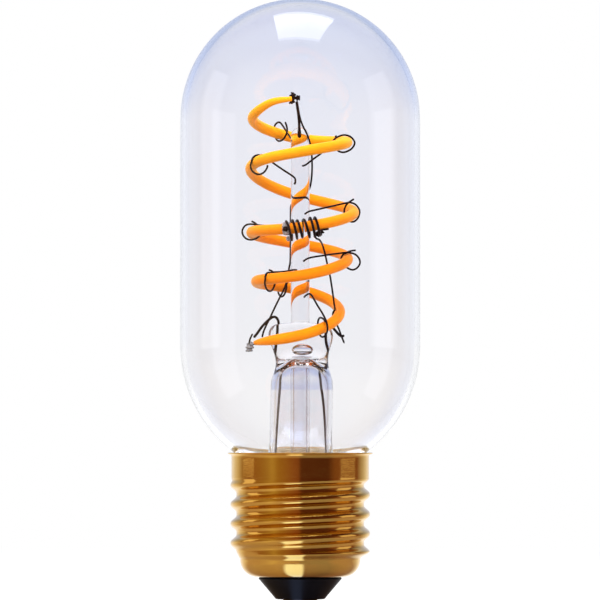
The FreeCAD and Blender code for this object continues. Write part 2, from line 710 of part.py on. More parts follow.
def make_board_slot():
    """Return the space that the board takes in the top of the insulator."""
    return block((-BOARD_WIDTH / 2 - SEAT_GAP, BOARD_FRONT - SEAT_GAP, BOARD_BOTTOM),
                 (BOARD_WIDTH / 2 + SEAT_GAP, BOARD_FRONT + BOARD_THICKNESS + SEAT_GAP, BOARD_TOP))


def make_bridge_rectifier():
    """Return the rectifier, a low block on the front of the board."""
    left = BOARD_WIDTH * RECTIFIER_ACROSS - RECTIFIER_WIDTH / 2
    bottom = BOARD_BOTTOM + BOARD_HEIGHT * RECTIFIER_UP
    face = BOARD_FRONT - RECTIFIER_THICKNESS
    body = block((left, face, bottom), (left + RECTIFIER_WIDTH, BOARD_FRONT, bottom + RECTIFIER_HEIGHT))
    rim = [edge for edge in body.Edges if edge.BoundBox.YMax < face + SEAT_GAP]
    return body.makeChamfer(PACKAGE_CHAMFER, rim)


def make_driver_chip():
    """Return the driver chip on the back of the board."""
    back = BOARD_FRONT + BOARD_THICKNESS
    face = back + CHIP_THICKNESS
    bottom = BOARD_BOTTOM + BOARD_HEIGHT * CHIP_UP
    body = block((-CHIP_WIDTH / 2, back, bottom), (CHIP_WIDTH / 2, face, bottom + CHIP_HEIGHT))
    rim = [edge for edge in body.Edges if edge.BoundBox.YMin > face - SEAT_GAP]
    return body.makeChamfer(PACKAGE_CHAMFER, rim)


def make_smoothing_capacitor():
    """Return the capacitor, a can with a rolled groove that stands against the board."""
    groove = CAPACITOR_GROOVE
    height = CAPACITOR_LENGTH
    low = CAPACITOR_GROOVE_HEIGHT
    can = turned((0, 0), [
        [(CAPACITOR_RADIUS - groove, 0)], [(CAPACITOR_RADIUS, groove)], [(CAPACITOR_RADIUS, low)],
        [(CAPACITOR_RADIUS - groove, low + groove), (CAPACITOR_RADIUS, low + 2 * groove)],
        [(CAPACITOR_RADIUS, height - groove)], [(CAPACITOR_RADIUS - groove, height)], [(0, height)],
    ])
    can.translate(Vector(-CAPACITOR_RADIUS, BOARD_FRONT - CAPACITOR_RADIUS, INSULATOR_TOP))
    return can


def make_contact_lead():
    """Return the lead from the resistor down into the eyelet."""
    middle = RESISTOR_OFFSET
    bend = INSULATOR_TOP + RESISTOR_STAND / 2
    return round_bar([
        Vector(middle, -middle, RESISTOR_FOOT + LEAD_OVERLAP), Vector(middle, -middle, bend),
        Vector(0, 0, bend - RESISTOR_LEAD / 3), Vector(0, 0, EYELET_FLOOR + RESISTOR_LEAD / 2),
    ], RESISTOR_LEAD)


def make_fusible_resistor():
    """Return the resistor with its two leads as one piece."""
    middle = RESISTOR_OFFSET
    top = RESISTOR_FOOT + RESISTOR_LENGTH
    body = Part.makeCylinder(RESISTOR_RADIUS, RESISTOR_LENGTH, Vector(middle, -middle, RESISTOR_FOOT))
    body = body.makeFillet(RESISTOR_FILLET, [edge for edge in body.Edges if len(edge.Vertexes) == 1])
    across = BOARD_WIDTH * RESISTOR_WIRE_ACROSS
    on_board = BOARD_FRONT - RESISTOR_LEAD / 2
    bend = top + 2 * RESISTOR_LEAD
    upper = round_bar([
        Vector(middle, -middle, top - LEAD_OVERLAP), Vector(middle, -middle, bend),
        Vector(across, on_board, bend), Vector(across, on_board, top - RESISTOR_LEAD),
    ], RESISTOR_LEAD)
    return body.fuse([upper, make_contact_lead()]).removeSplitter()


def make_shell_wire():
    """Return the wire from the board to the inside of the shell."""
    end = THREAD_CREST_RADIUS - SHELL_WALL - LEAD_DIAMETER / 2
    turn = math.atan2(LEAD_ON_BOARD, -end) / (2 * math.pi)
    height = THREAD_PHASE + THREAD_PITCH * (2 + turn)
    edge = BOARD_WIDTH / 2
    return round_bar([
        Vector(BOARD_MARGIN - edge, LEAD_ON_BOARD, BOARD_TOP - LEAD_DEPTH - LEAD_RISE),
        Vector(BOARD_MARGIN - edge, LEAD_ON_BOARD, BOARD_TOP - LEAD_RISE),
        Vector(-BOARD_MARGIN - edge, LEAD_ON_BOARD, height),
        Vector(-end, LEAD_ON_BOARD, height),
    ], LEAD_DIAMETER)


def make_lamp():
    """Return every piece of the lamp by name."""
    hooks = [make_support_hook(*row) for row in SUPPORT_HOOKS]
    left_lead = make_left_lead()
    right_lead = make_right_lead()
    top_support = make_top_support()
    exhaust = make_exhaust_tube()
    rod = make_glass_rod()
    tail = Vector(0, 0, RIM - EXHAUST_TAIL)
    exhaust_plug = Part.makeCylinder(EXHAUST_RADIUS, EXHAUST_TOP + EXHAUST_TAIL, tail)
    half_gap = station_span(JOINT_GAP / 2, FILAMENT_JOINT)

    pieces = {
        "glass_envelope": make_glass_envelope(),
        "stem_flare": make_stem_flare([exhaust_plug, rod, left_lead, right_lead]),
        "exhaust_tube": exhaust,
        "glass_rod": rod.cut(hooks + [top_support]),
        "upper_filament": make_filament(FILAMENT_START, FILAMENT_JOINT - half_gap),
        "lower_filament": make_filament(FILAMENT_JOINT + half_gap, FILAMENT_END),
        "top_end_tab": make_end_tab(FILAMENT_START, -1),
        "bottom_end_tab": make_end_tab(FILAMENT_END, 1),
        "joint_coil": make_joint_coil(),
        "joint_clip": make_joint_clip(),
        "left_lead_wire": left_lead,
        "right_lead_wire": right_lead,
        "centre_feed_wire": make_centre_feed(),
        "return_wire": make_return_wire(),
        "top_support_wire": top_support,
        "screw_shell": make_screw_shell(),
        "cap_cement": make_cap_cement(),
        "cap_insulator": make_cap_insulator(make_board_slot()),
        "centre_contact": make_centre_contact(),
        "contact_solder": make_contact_solder(make_contact_lead()),
        "driver_board": make_driver_board(),
        "bridge_rectifier": make_bridge_rectifier(),
        "driver_chip": make_driver_chip(),
        "smoothing_capacitor": make_smoothing_capacitor(),
        "fusible_resistor": make_fusible_resistor(),
        "shell_wire": make_shell_wire(),
    }
    for index, hook in enumerate(hooks):
        pieces["support_wire_%d" % (index + 1)] = hook
    return pieces


def main():
    """Write one file for each piece of the lamp."""
    os.makedirs("parts", exist_ok=True)
    for name, shape in make_lamp().items():
        solid = shape if shape.ShapeType == "Solid" else shape.Solids[0]
        print("%-20s %d %s %.2f" % (name, len(shape.Solids), shape.isValid(), shape.Volume))
        solid.exportStep("parts/%s.step" % name)


if __name__ == "__main__":
    main()
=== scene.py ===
import logging
import math
from dataclasses import dataclass, field
from enum import Enum

import bpy
import numpy as np
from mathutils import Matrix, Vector


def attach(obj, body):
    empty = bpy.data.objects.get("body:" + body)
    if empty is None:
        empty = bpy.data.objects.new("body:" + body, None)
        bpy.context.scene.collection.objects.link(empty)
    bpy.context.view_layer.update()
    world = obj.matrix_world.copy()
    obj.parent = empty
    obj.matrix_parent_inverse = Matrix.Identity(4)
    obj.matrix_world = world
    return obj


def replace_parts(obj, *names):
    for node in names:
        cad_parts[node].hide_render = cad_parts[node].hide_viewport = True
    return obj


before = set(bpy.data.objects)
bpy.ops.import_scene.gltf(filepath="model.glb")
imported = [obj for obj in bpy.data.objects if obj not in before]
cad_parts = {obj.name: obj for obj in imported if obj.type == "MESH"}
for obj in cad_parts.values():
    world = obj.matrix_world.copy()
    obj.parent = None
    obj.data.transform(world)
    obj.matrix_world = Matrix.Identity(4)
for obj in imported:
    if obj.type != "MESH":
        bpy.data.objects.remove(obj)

# A clear tubular lamp: blown glass, a glass stem with a rod, two soft filaments end to end in one
# open spiral, thin dark wires, and a brass screw cap. Sizes are in millimetres, +Z is up, and the
# origin is the bottom face of the centre contact. The lamp faces -Y.

MM = 0.001
RIM = 28.4
BODY = "root"

# Half the span over which the spiral's direction is read, half the width of the clouds' soft edge,
# the directions over which a mirrored front turns into the white back, the floor's half side and
# depth in metres, and how often a ray may bounce in the glass
STATION_STEP = 0.02
CLOUD_EDGE = 0.16
BACK_SPAN = {"From_Min": 0.35, "From_Max": 0.85}
FLOOR_REACH = 9.0
FLOOR_DROP = 0.00002
LIGHT_BOUNCES = 40
LOG = logging.getLogger("lamp")
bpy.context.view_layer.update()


class Ends(Enum):
    """How the two ends of a grid are closed."""

    OPEN = 0
    CLOSED = 1


# Shapes as arrays


def smooth_curve(points: list, per_run: int = 8) -> np.ndarray:
    """Return a smooth curve that passes through every given point.

    Formula: each run is a cubic in the share of the run passed. It starts and ends at the run's two
    points, and its slope at a point is half the step from the point before to the point after.

    Args:
        points: rows of coordinates, at least two.
        per_run: curve points for each run.

    Returns:
        An array of points, one row each.
    """
    knots = np.asarray(points, dtype=float)
    padded = np.vstack([2 * knots[0] - knots[1], knots, 2 * knots[-1] - knots[-2]])
    share = np.arange(per_run)[None, :, None] / per_run
    here, there = padded[1:-2, None, :], padded[2:-1, None, :]
    leaving = (there - padded[:-3, None, :]) / 2
    arriving = (padded[3:, None, :] - here) / 2
    bend = 2 * here - 2 * there + leaving + arriving
    curve = 3 * there - 3 * here - 2 * leaving - arriving
    runs = here + leaving * share + curve * share ** 2 + bend * share ** 3
    return np.vstack([runs.reshape(-1, knots.shape[1]), knots[-1]])


def arc(centre: tuple, radius: float, start: float, end: float, count: int) -> np.ndarray:
    """Return points of a profile on a circle.

    Formula: the centre plus the radius times the cosine and the sine of an evenly stepped angle.

    Args:
        centre: radius and height of the circle's middle.
        radius: the circle's radius.
        start: first angle in degrees from the direction away from the axis.
        end: last angle in degrees.
        count: number of points.

    Returns:
        Rows of radius and height.
    """
    turn = np.radians(np.linspace(start, end, count))
    return np.column_stack([centre[0] + radius * np.cos(turn), centre[1] + radius * np.sin(turn)])


def full_turn(count: int) -> np.ndarray:
    """Return the angles of evenly spaced points once round a circle, in radians."""
    return 2 * math.pi * np.arange(count) / count


def close_rows(profile: np.ndarray, near: float = 0.08, long: float = 0.6) -> np.ndarray:
    """Return a profile with one more point close to each end of its long runs.

    Formula: on a run longer than the limit, a point lies at the given distance from each end, so
    that the shading of a sharp corner doesn't reach along the run.

    Args:
        profile: rows of radius and height.
        near: distance of a new point from its corner.
        long: length from which a run gets the points.

    Returns:
        The profile with the added rows.
    """
    step = np.diff(profile, axis=0)
    length = np.linalg.norm(step, axis=1, keepdims=True)
    ahead = step / np.maximum(length, 1e-9) * near
    rows = np.stack([profile[:-1], profile[:-1] + ahead, profile[1:] - ahead], axis=1)
    keep = np.column_stack([np.ones(len(step), bool), length[:, 0] > long, length[:, 0] > long])
    return np.vstack([rows[keep], profile[-1:]])


def lathe_grid(profile: np.ndarray, columns: int) -> np.ndarray:
    """Return a profile carried once round the Z axis.

    Formula: each row has one radius and height, and its points lie at that radius times the cosine
    and the sine of the angle of their column.

    Args:
        profile: rows of radius and height.
        columns: number of steps round the axis.

    Returns:
        An array of rows by columns by coordinates.
    """
    turn = full_turn(columns)
    table = close_rows(profile)
    radius, height = table[:, 0:1], table[:, 1:2]
    flat = np.ones_like(turn)[None, :]
    return np.stack([radius * np.cos(turn), radius * np.sin(turn), height * flat], axis=-1)


def tube_grid(path: np.ndarray, radius: np.ndarray, sides: int) -> np.ndarray:
    """Return a round tube along a path.

    Formula: at each path point the section is a circle in the plane across the path. Its first axis
    is the direction that the path follows least, with its share along the path taken out, and its
    second axis is the path's direction crossed with the first.

    Args:
        path: rows of path points.
        radius: one radius for each path point.
        sides: number of steps round the section.

    Returns:
        An array of path points by sides by coordinates.
    """
    ahead = np.gradient(path, axis=0)
    ahead /= np.linalg.norm(ahead, axis=1, keepdims=True)
    guide = np.linalg.svd(ahead, full_matrices=False)[2][-1]
    first = guide - ahead * (ahead @ guide)[:, None]
    first /= np.linalg.norm(first, axis=1, keepdims=True)
    second = np.cross(ahead, first)
    turn = full_turn(sides)
    cosine, sine = np.cos(turn)[:, None], np.sin(turn)[:, None]
    round_about = first[:, None, :] * cosine + second[:, None, :] * sine
    return path[:, None, :] + round_about * np.asarray(radius, dtype=float)[:, None, None]


def kept_clear(path: np.ndarray, axis: np.ndarray, reach: float) -> np.ndarray:
    """Return a path moved away from an axis where it comes too near.

    Formula: each path point looks for the nearest axis point, and a point that is nearer than the
    reach moves straight away from it until it is that far.

    Args:
        path: rows of path points.
        axis: rows of points of the axis.
        reach: the least distance from the axis.

    Returns:
        The moved rows.
    """
    apart = np.linalg.norm(path[:, None, :] - axis[None, :, :], axis=2)
    nearest = axis[apart.argmin(axis=1)]
    away = path - nearest
    distance = np.linalg.norm(away, axis=1, keepdims=True)
    return nearest + away * np.maximum(distance, reach) / distance


def eased(profile: np.ndarray, step: float = 0.55, reach: float = 1.3) -> np.ndarray:
    """Return a profile in even steps whose bends change softly where its arcs and lines meet.

    Formula: the profile is read at even steps along its length, and each point becomes the mean of
    its neighbours with weights of a bell curve. Beyond both ends the profile is mirrored through its
    end points, so that they stay.

    Args:
        profile: rows of radius and height.
        step: distance between two points.
        reach: the bell curve's width along the profile.

    Returns:
        The eased rows.
    """
    along = np.concatenate([[0.0], np.cumsum(np.linalg.norm(np.diff(profile, axis=0), axis=1))])
    places = np.linspace(0, along[-1], int(along[-1] / step) + 1)
    even = np.column_stack([np.interp(places, along, profile[:, axis]) for axis in (0, 1)])
    count = int(3 * reach / step)
    weights = np.exp(-(np.arange(-count, count + 1) * step / reach) ** 2 / 2)
    weights /= weights.sum()
    before = 2 * even[0] - even[count:0:-1]
    after = 2 * even[-1] - even[-2:-count - 2:-1]
    table = np.vstack([before, even, after])
    return np.column_stack([np.convolve(table[:, axis], weights, "valid") for axis in (0, 1)])


def rounded_radius(path: np.ndarray, radius: float, cap: float = 0.6) -> np.ndarray:
    """Return the radius of a wire along its path, eased to a small round end at both ends.

    Formula: near an end the radius is that of a half ellipse whose long half-axis is the cap.

    Args:
        path: rows of path points.
        radius: the wire's radius.
        cap: length of the rounded end, as a multiple of the radius.

    Returns:
        One radius for each path point.
    """
    steps = np.linalg.norm(np.diff(path, axis=0), axis=1)
    along = np.concatenate([[0.0], np.cumsum(steps)])
    near = np.minimum(along, along[-1] - along) / (cap * radius)
    return radius * np.sqrt(np.clip(1 - (1 - np.clip(near, 0.0, 1.0)) ** 2, 0.02, 1.0))


def grid_faces(rows: int, columns: int, loop: bool) -> np.ndarray:
    """Return the four-sided faces of a grid whose rows are closed rings.

    Formula: the face at a row and a column joins it to the next column and the next row, and the
    last column joins the first. With a loop the last row joins the first too.

    Args:
        rows: number of rings.
        columns: points in each ring.
        loop: whether the last ring joins the first.

    Returns:
        Rows of four vertex numbers.
    """
    number = np.arange(rows * columns).reshape(rows, columns)
    ahead = np.roll(number, -1, axis=0) if loop else number[1:]
    here = number if loop else number[:-1]
    quads = np.stack([here, np.roll(here, -1, axis=1), np.roll(ahead, -1, axis=1), ahead], axis=-1)
    return quads.reshape(-1, 4)


def new_object(name: str, data: bpy.types.ID) -> bpy.types.Object:
    """Return a new object of the scene that holds the given data."""
    thing = bpy.data.objects.new(name, data)
    bpy.context.scene.collection.objects.link(thing)
    return thing


def add_mesh(name: str, grids: list, ends: Ends = Ends.CLOSED, loop: bool = False) -> bpy.types.Object:
    """Make one object from grids of closed rings.

    Formula: each grid gives its points and four-sided faces, and a closed end gets one more point in
    the middle of its ring, with three-sided faces round it.

    Args:
        name: the object's name.
        grids: arrays of rows by columns by coordinates, in millimetres.
        ends: whether the ends are closed by a middle point.
        loop: whether the last ring joins the first.

    Returns:
        The new object, with smooth faces, riding on the lamp's body.
    """
    points, quads, corners, start = [], [], [], 0
    for grid in grids:
        rows, columns = grid.shape[:2]
        points.append(grid.reshape(-1, 3))
        quads.append(grid_faces(rows, columns, loop) + start)
        if ends is Ends.CLOSED and not loop:
            points.append(np.vstack([grid[0].mean(axis=0), grid[-1].mean(axis=0)]))
            low, high = start + rows * columns, start + rows * columns + 1
            ring = np.arange(columns) + start
            last = ring + (rows - 1) * columns
            corners.append(np.column_stack([np.roll(ring, -1), ring, np.full(columns, low)]))
            corners.append(np.column_stack([last, np.roll(last, -1), np.full(columns, high)]))
        start = sum(len(block) for block in points)
    faces = np.vstack(quads).tolist() + [row for block in corners for row in block.tolist()]
    mesh = bpy.data.meshes.new(name)
    mesh.from_pydata((np.vstack(points) * MM).tolist(), [], faces)
    mesh.polygons.foreach_set("use_smooth", np.ones(len(mesh.polygons), dtype=bool))
    mesh.update()
    piece = new_object(name, mesh)
    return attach(piece, BODY)


def look_at(thing: bpy.types.Object, aim: tuple) -> None:
    """Turn a camera or a lamp so that it faces a point."""
    thing.rotation_euler = (Vector(aim) - thing.location).to_track_quat("-Z", "Y").to_euler()


def dress(piece: bpy.types.Object, material: bpy.types.Material) -> None:
    """Give a new piece its material."""
    piece.data.materials.clear()
    piece.data.materials.append(material)


def dress_node(name: str, material: bpy.types.Material) -> None:
    """Give a CAD node that stays its material."""
    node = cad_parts[name]
    node.data.materials.clear()
    node.data.materials.append(material)
    node.data.polygons.foreach_set("use_smooth", np.ones(len(node.data.polygons), dtype=bool))


# Materials


class Sheet:
    """A material's or a world's node tree, with short calls to add and join nodes."""

    def __init__(self, tree: bpy.types.NodeTree) -> None:
        """Start with an empty tree."""
        self.tree = tree
        tree.nodes.clear()

    def add(self, kind: str, **values: object) -> bpy.types.Node:
        """Add a node.

        Args:
            kind: the node's type name without its prefix.
            values: inputs by name with underscores for spaces, or properties in lower case.

        Returns:
            The new node.
        """
        node = self.tree.nodes.new("ShaderNode" + kind)
        for name, value in values.items():
            socket = node.inputs.get(name.replace("_", " "))
            if socket is not None and not hasattr(node, name):
                socket.default_value = value
            else:
                setattr(node, name, value)
        return node

    def join(self, source: bpy.types.NodeSocket, target: bpy.types.NodeSocket) -> None:
        """Join an output to an input."""
        self.tree.links.new(source, target)

    def joins(self, *rows: tuple) -> None:
        """Join outputs to inputs.

        Args:
            rows: a node and its output, then a node and its input, sockets by name or number.
        """
        for source, output, target, socket in rows:
            self.join(source.outputs[output], target.inputs[socket])

    def place(self, group: bpy.types.NodeTree, **values: object) -> bpy.types.Node:
        """Add a node group with values for its named inputs.

        Args:
            group: the group's tree.
            values: inputs by name with underscores for spaces.

        Returns:
            The new group node.
        """
        node = self.tree.nodes.new("ShaderNodeGroup")
        node.node_tree = group
        for name, value in values.items():
            node.inputs[name.replace("_", " ")].default_value = value
        return node


def new_group(name: str, inputs: list, outputs: list) -> tuple:
    """Make an empty shader node group.

    Args:
        name: the group's name.
        inputs: rows of socket name, socket type and default value.
        outputs: rows of socket name and socket type.

    Returns:
        The group's tree, its sheet, its input node and its output node.
    """
    tree = bpy.data.node_groups.new(name, "ShaderNodeTree")
    sheet = Sheet(tree)
    for title, kind, value in inputs:
        socket = tree.interface.new_socket(title, in_out="INPUT", socket_type="NodeSocket" + kind)
        socket.default_value = value
    for title, kind in outputs:
        tree.interface.new_socket(title, in_out="OUTPUT", socket_type="NodeSocket" + kind)
    start = tree.nodes.new("NodeGroupInput")
    end = tree.nodes.new("NodeGroupOutput")
    return tree, sheet, start, end


def cloud_group() -> bpy.types.NodeTree:
    """Build the group that mixes two colours in soft clouds.

    Returns:
        A group with inputs Scale, Balance, First and Second, and outputs Colour and Mask.
    """
    tree, sheet, start, end = new_group(
        "soft_clouds",
        [("Scale", "Float", 200.0), ("Balance", "Float", 0.5),
         ("First", "Color", (1, 1, 1, 1)), ("Second", "Color", (0, 0, 0, 1))],
        [("Colour", "Color"), ("Mask", "Float")])
    place = sheet.add("TexCoord")
    noise = sheet.add("TexNoise", Detail=5.0, Roughness=0.6)
    spread = sheet.add("MapRange", To_Min=0.0, To_Max=1.0)
    low = sheet.add("Math", operation="SUBTRACT")
    high = sheet.add("Math", operation="ADD")
    for side in (low, high):
        side.inputs[1].default_value = CLOUD_EDGE
    mix = sheet.add("Mix", data_type="RGBA")
    sheet.joins(
        (place, "Object", noise, "Vector"), (start, "Scale", noise, "Scale"),
        (start, "Balance", low, 0), (start, "Balance", high, 0), (noise, "Fac", spread, "Value"),
        (low, 0, spread, "From Min"), (high, 0, spread, "From Max"), (spread, "Result", mix, "Factor"),
        (start, "First", mix, 6), (start, "Second", mix, 7), (mix, 2, end, "Colour"),
        (spread, "Result", end, "Mask"),
    )
    return tree


def grain_group() -> bpy.types.NodeTree:
    """Build the group that gives fine grain, drawn out along one direction if asked.

    Returns:
        A group with inputs Scale, Stretch and Depth, and outputs Mask and Normal.
    """
    tree, sheet, start, end = new_group(
        "fine_grain",
        [("Scale", "Float", 2000.0), ("Stretch", "Vector", (1, 1, 1)), ("Depth", "Float", 0.00002)],
        [("Mask", "Float"), ("Normal", "Vector")])
    place = sheet.add("TexCoord")
    stretch = sheet.add("VectorMath", operation="MULTIPLY")
    noise = sheet.add("TexNoise", Detail=3.0, Roughness=0.55)
    bump = sheet.add("Bump", Strength=1.0)
    sheet.joins(
        (place, "Object", stretch, 0), (start, "Stretch", stretch, 1), (stretch, 0, noise, "Vector"),
        (start, "Scale", noise, "Scale"), (noise, "Fac", bump, "Height"),
        (start, "Depth", bump, "Distance"), (noise, "Fac", end, "Mask"),
        (bump, "Normal", end, "Normal"),
    )
    return tree


def fill_ramp(ramp: bpy.types.Node, tones: list) -> None:
    """Give a colour ramp its stops.

    Args:
        ramp: the ramp's node.
        tones: rows of position and colour, in order.
    """
    stops = ramp.color_ramp.elements
    for _ in tones[2:]:
        stops.new(0.5)
    for stop, (position, colour) in zip(stops, tones):
        stop.position = position
        stop.color = (*colour, 1)


@dataclass(frozen=True)
class Effects:
    """The node groups that several finishes share."""

    clouds: bpy.types.NodeTree
    grain: bpy.types.NodeTree


def new_material(name: str) -> tuple:
    """Return a new material, its sheet and its output node."""
    material = bpy.data.materials.new(name)
    material.use_nodes = True
    sheet = Sheet(material.node_tree)
    return material, sheet, sheet.add("OutputMaterial")


@dataclass(frozen=True)
class GlassFinish:
    """Clear glass that lets the lamps of the studio through to what it holds."""

    name: str
    tint: tuple
    edge_tint: tuple
    waviness: float = 0.000015
    wave_scale: float = 90.0
    ior: float = 1.46

    def material(self, effects: Effects) -> bpy.types.Material:
        """Return the glass material.

        Args:
            effects: the shared node groups.

        Returns:
            A material of smooth glass whose tint deepens where it is seen edge on.
        """
        material, sheet, output = new_material(self.name)
        glass = sheet.add("BsdfPrincipled", Roughness=0.0, IOR=self.ior, Transmission_Weight=1.0)
        edge = sheet.add("LayerWeight", Blend=0.5)
        ramp = sheet.add("ValToRGB")
        fill_ramp(ramp, [(0.45, self.tint), (0.85, self.edge_tint)])
        wave = sheet.place(effects.grain, Scale=self.wave_scale, Depth=self.waviness)
        clear = sheet.add("BsdfTransparent", Color=(0.97, 0.975, 0.985, 1))
        path = sheet.add("LightPath")
        mix = sheet.add("MixShader")
        sheet.joins(
            (edge, "Facing", ramp, "Fac"), (ramp, "Color", glass, "Base Color"),
            (wave, "Normal", glass, "Normal"), (path, "Is Shadow Ray", mix, "Fac"),
            (glass, "BSDF", mix, 1), (clear, "BSDF", mix, 2), (mix, "Shader", output, "Surface"),
        )
        return material


@dataclass(frozen=True)
class SurfaceFinish:
    """An opaque finish: a colour in soft clouds, a roughness with grain, and fine bumps."""

    name: str
    colour: tuple
    second: tuple
    roughness: float
    rough_spread: float = 0.1
    metallic: float = 0.0
    cloud_scale: float = 300.0
    balance: float = 0.5
    grain_scale: float = 3000.0
    stretch: tuple = (1.0, 1.0, 1.0)
    depth: float = 0.00001
    coat: float = 0.0
    coat_roughness: float = 0.1
    specular: float = 0.5
    sheen: float = 0.0

    def material(self, effects: Effects) -> bpy.types.Material:
        """Return the material.

        Args:
            effects: the shared node groups.

        Returns:
            A material with the finish's colours, roughness and bumps.
        """
        material, sheet, output = new_material(self.name)
        shader = sheet.add("BsdfPrincipled", Metallic=self.metallic, Coat_Weight=self.coat,
                           Coat_Roughness=self.coat_roughness, Specular_IOR_Level=self.specular,
                           Sheen_Weight=self.sheen)
        clouds = sheet.place(effects.clouds, Scale=self.cloud_scale, Balance=self.balance,
                             First=(*self.colour, 1), Second=(*self.second, 1))
        grain = sheet.place(effects.grain, Scale=self.grain_scale, Stretch=self.stretch,
                            Depth=self.depth)
        rough = sheet.add("MapRange", To_Min=self.roughness - self.rough_spread / 2,
                          To_Max=self.roughness + self.rough_spread / 2)
        sheet.joins(
            (clouds, "Colour", shader, "Base Color"), (grain, "Mask", rough, "Value"),
            (rough, "Result", shader, "Roughness"), (grain, "Normal", shader, "Normal"),
            (shader, "BSDF", output, "Surface"),
        )
        return material


@dataclass(frozen=True)
class SoftCoating:
    """The soft coating of the filaments: satin orange, with painted light that makes it more yellow at
    the top of the spiral and painted shade that makes it redder below.
    """

    name: str
    roughness: float = 0.46
    specular: float = 0.14
    # Colours by height in metres: the yellower upper stops are painted light from above, the redder
    # lower stops painted shade.
    stops: tuple = (
        (0.045, (1.0, 0.270, 0.003)), (0.060, (0.98, 0.245, 0.002)), (0.069, (0.98, 0.255, 0.003)),
        (0.078, (1.0, 0.310, 0.004)), (0.087, (1.0, 0.360, 0.006)), (0.096, (1.0, 0.380, 0.009)),
    )

    def material(self, effects: Effects) -> bpy.types.Material:
        """Return the coating's material.

        Args:
            effects: the shared node groups.

        Returns:
            A material whose colour follows the height on the spiral, yellower at the top as painted
            light and redder below as painted shade, with soft clouds and grain.
        """
        material, sheet, output = new_material(self.name)
        shader = sheet.add("BsdfPrincipled", Roughness=self.roughness, Specular_IOR_Level=self.specular,
                           Sheen_Weight=0.5, Sheen_Roughness=0.35, Sheen_Tint=(1.0, 0.72, 0.22, 1))
        place = sheet.add("TexCoord")
        split = sheet.add("SeparateXYZ")
        # The height ramp paints light and shade into the colour: yellower towards the top, redder lower
        # down.
        low, high = self.stops[0][0], self.stops[-1][0]
        level = sheet.add("MapRange", From_Min=low, From_Max=high)
        ramp = sheet.add("ValToRGB")
        fill_ramp(ramp, [((height - low) / (high - low), colour) for height, colour in self.stops])
        clouds = sheet.place(effects.clouds, Scale=420.0, Balance=0.5, First=(1, 1, 1, 1),
                             Second=(0.95, 0.90, 0.90, 1))
        shade = sheet.add("Mix", data_type="RGBA", blend_type="MULTIPLY")
        shade.inputs[0].default_value = 1.0
        grain = sheet.place(effects.grain, Scale=2500.0, Depth=0.000008)
        sheet.joins(
            (place, "Object", split, "Vector"), (split, "Z", level, "Value"),
            (level, "Result", ramp, "Fac"), (ramp, "Color", shade, 6), (clouds, "Colour", shade, 7),
            (shade, 2, shader, "Base Color"), (grain, "Normal", shader, "Normal"),
            (shader, "BSDF", output, "Surface"),
        )
        return material


# The sub-assemblies


@dataclass
class GlassBulb:
    """The blown bulb: domed top, straight tube, round shoulder and neck, with one wall."""

    radius: float = 22.5
    wall: float = 1.0
    tube_bottom: float = 48.2
    tube_top: float = 91.1
    neck_radius: float = 11.3
    neck_bottom: float = 21.0
    fillet_radius: float = 1.2
    fillet_depth: float = 1.42
    columns: int = 160

    def wall_line(self, inset: float) -> np.ndarray:
        """Return the line of one face of the wall, from the top of the dome to the neck.

        Formula: a quarter circle, a straight line and the shoulder's arc, eased where they meet, and
        the fillet's arc, each moved inwards by the inset.

        Args:
            inset: how far the face lies inside the outer face.

        Returns:
            Rows of radius and height.
        """
        fillet = (self.neck_radius + self.fillet_radius, RIM - self.fillet_depth)
        drop = self.tube_bottom - fillet[1]
        reach = self.radius - fillet[0]
        chord = reach ** 2 + drop ** 2
        shoulder = (chord - self.fillet_radius ** 2) / (2 * (self.fillet_radius + reach))
        middle = (self.radius - shoulder, self.tube_bottom)
        slope = math.degrees(math.atan2(-drop, fillet[0] - middle[0]))
        body = eased(np.vstack([
            arc((0.0, self.tube_top), self.radius - inset, 89.4, 0, 90),
            arc(middle, shoulder - inset, 0, slope, 60),
        ]))
        return np.vstack([
            body, arc(fillet, self.fillet_radius + inset, 180 + slope, 180, 12)[1:],
            [[self.neck_radius - inset, self.neck_bottom]],
        ])

    def build(self, glass: bpy.types.Material) -> bpy.types.Object:
        """Make the bulb from its inner and its outer face and dress it.

        Args:
            glass: the glass material.

        Returns:
            The new piece, which stands for the CAD envelope.
        """
        profile = np.vstack([self.wall_line(self.wall), self.wall_line(0.0)[::-1]])
        bulb = add_mesh("bulb_glass", [lathe_grid(profile, self.columns)])
        dress(bulb, glass)
        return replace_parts(bulb, "glass_envelope")


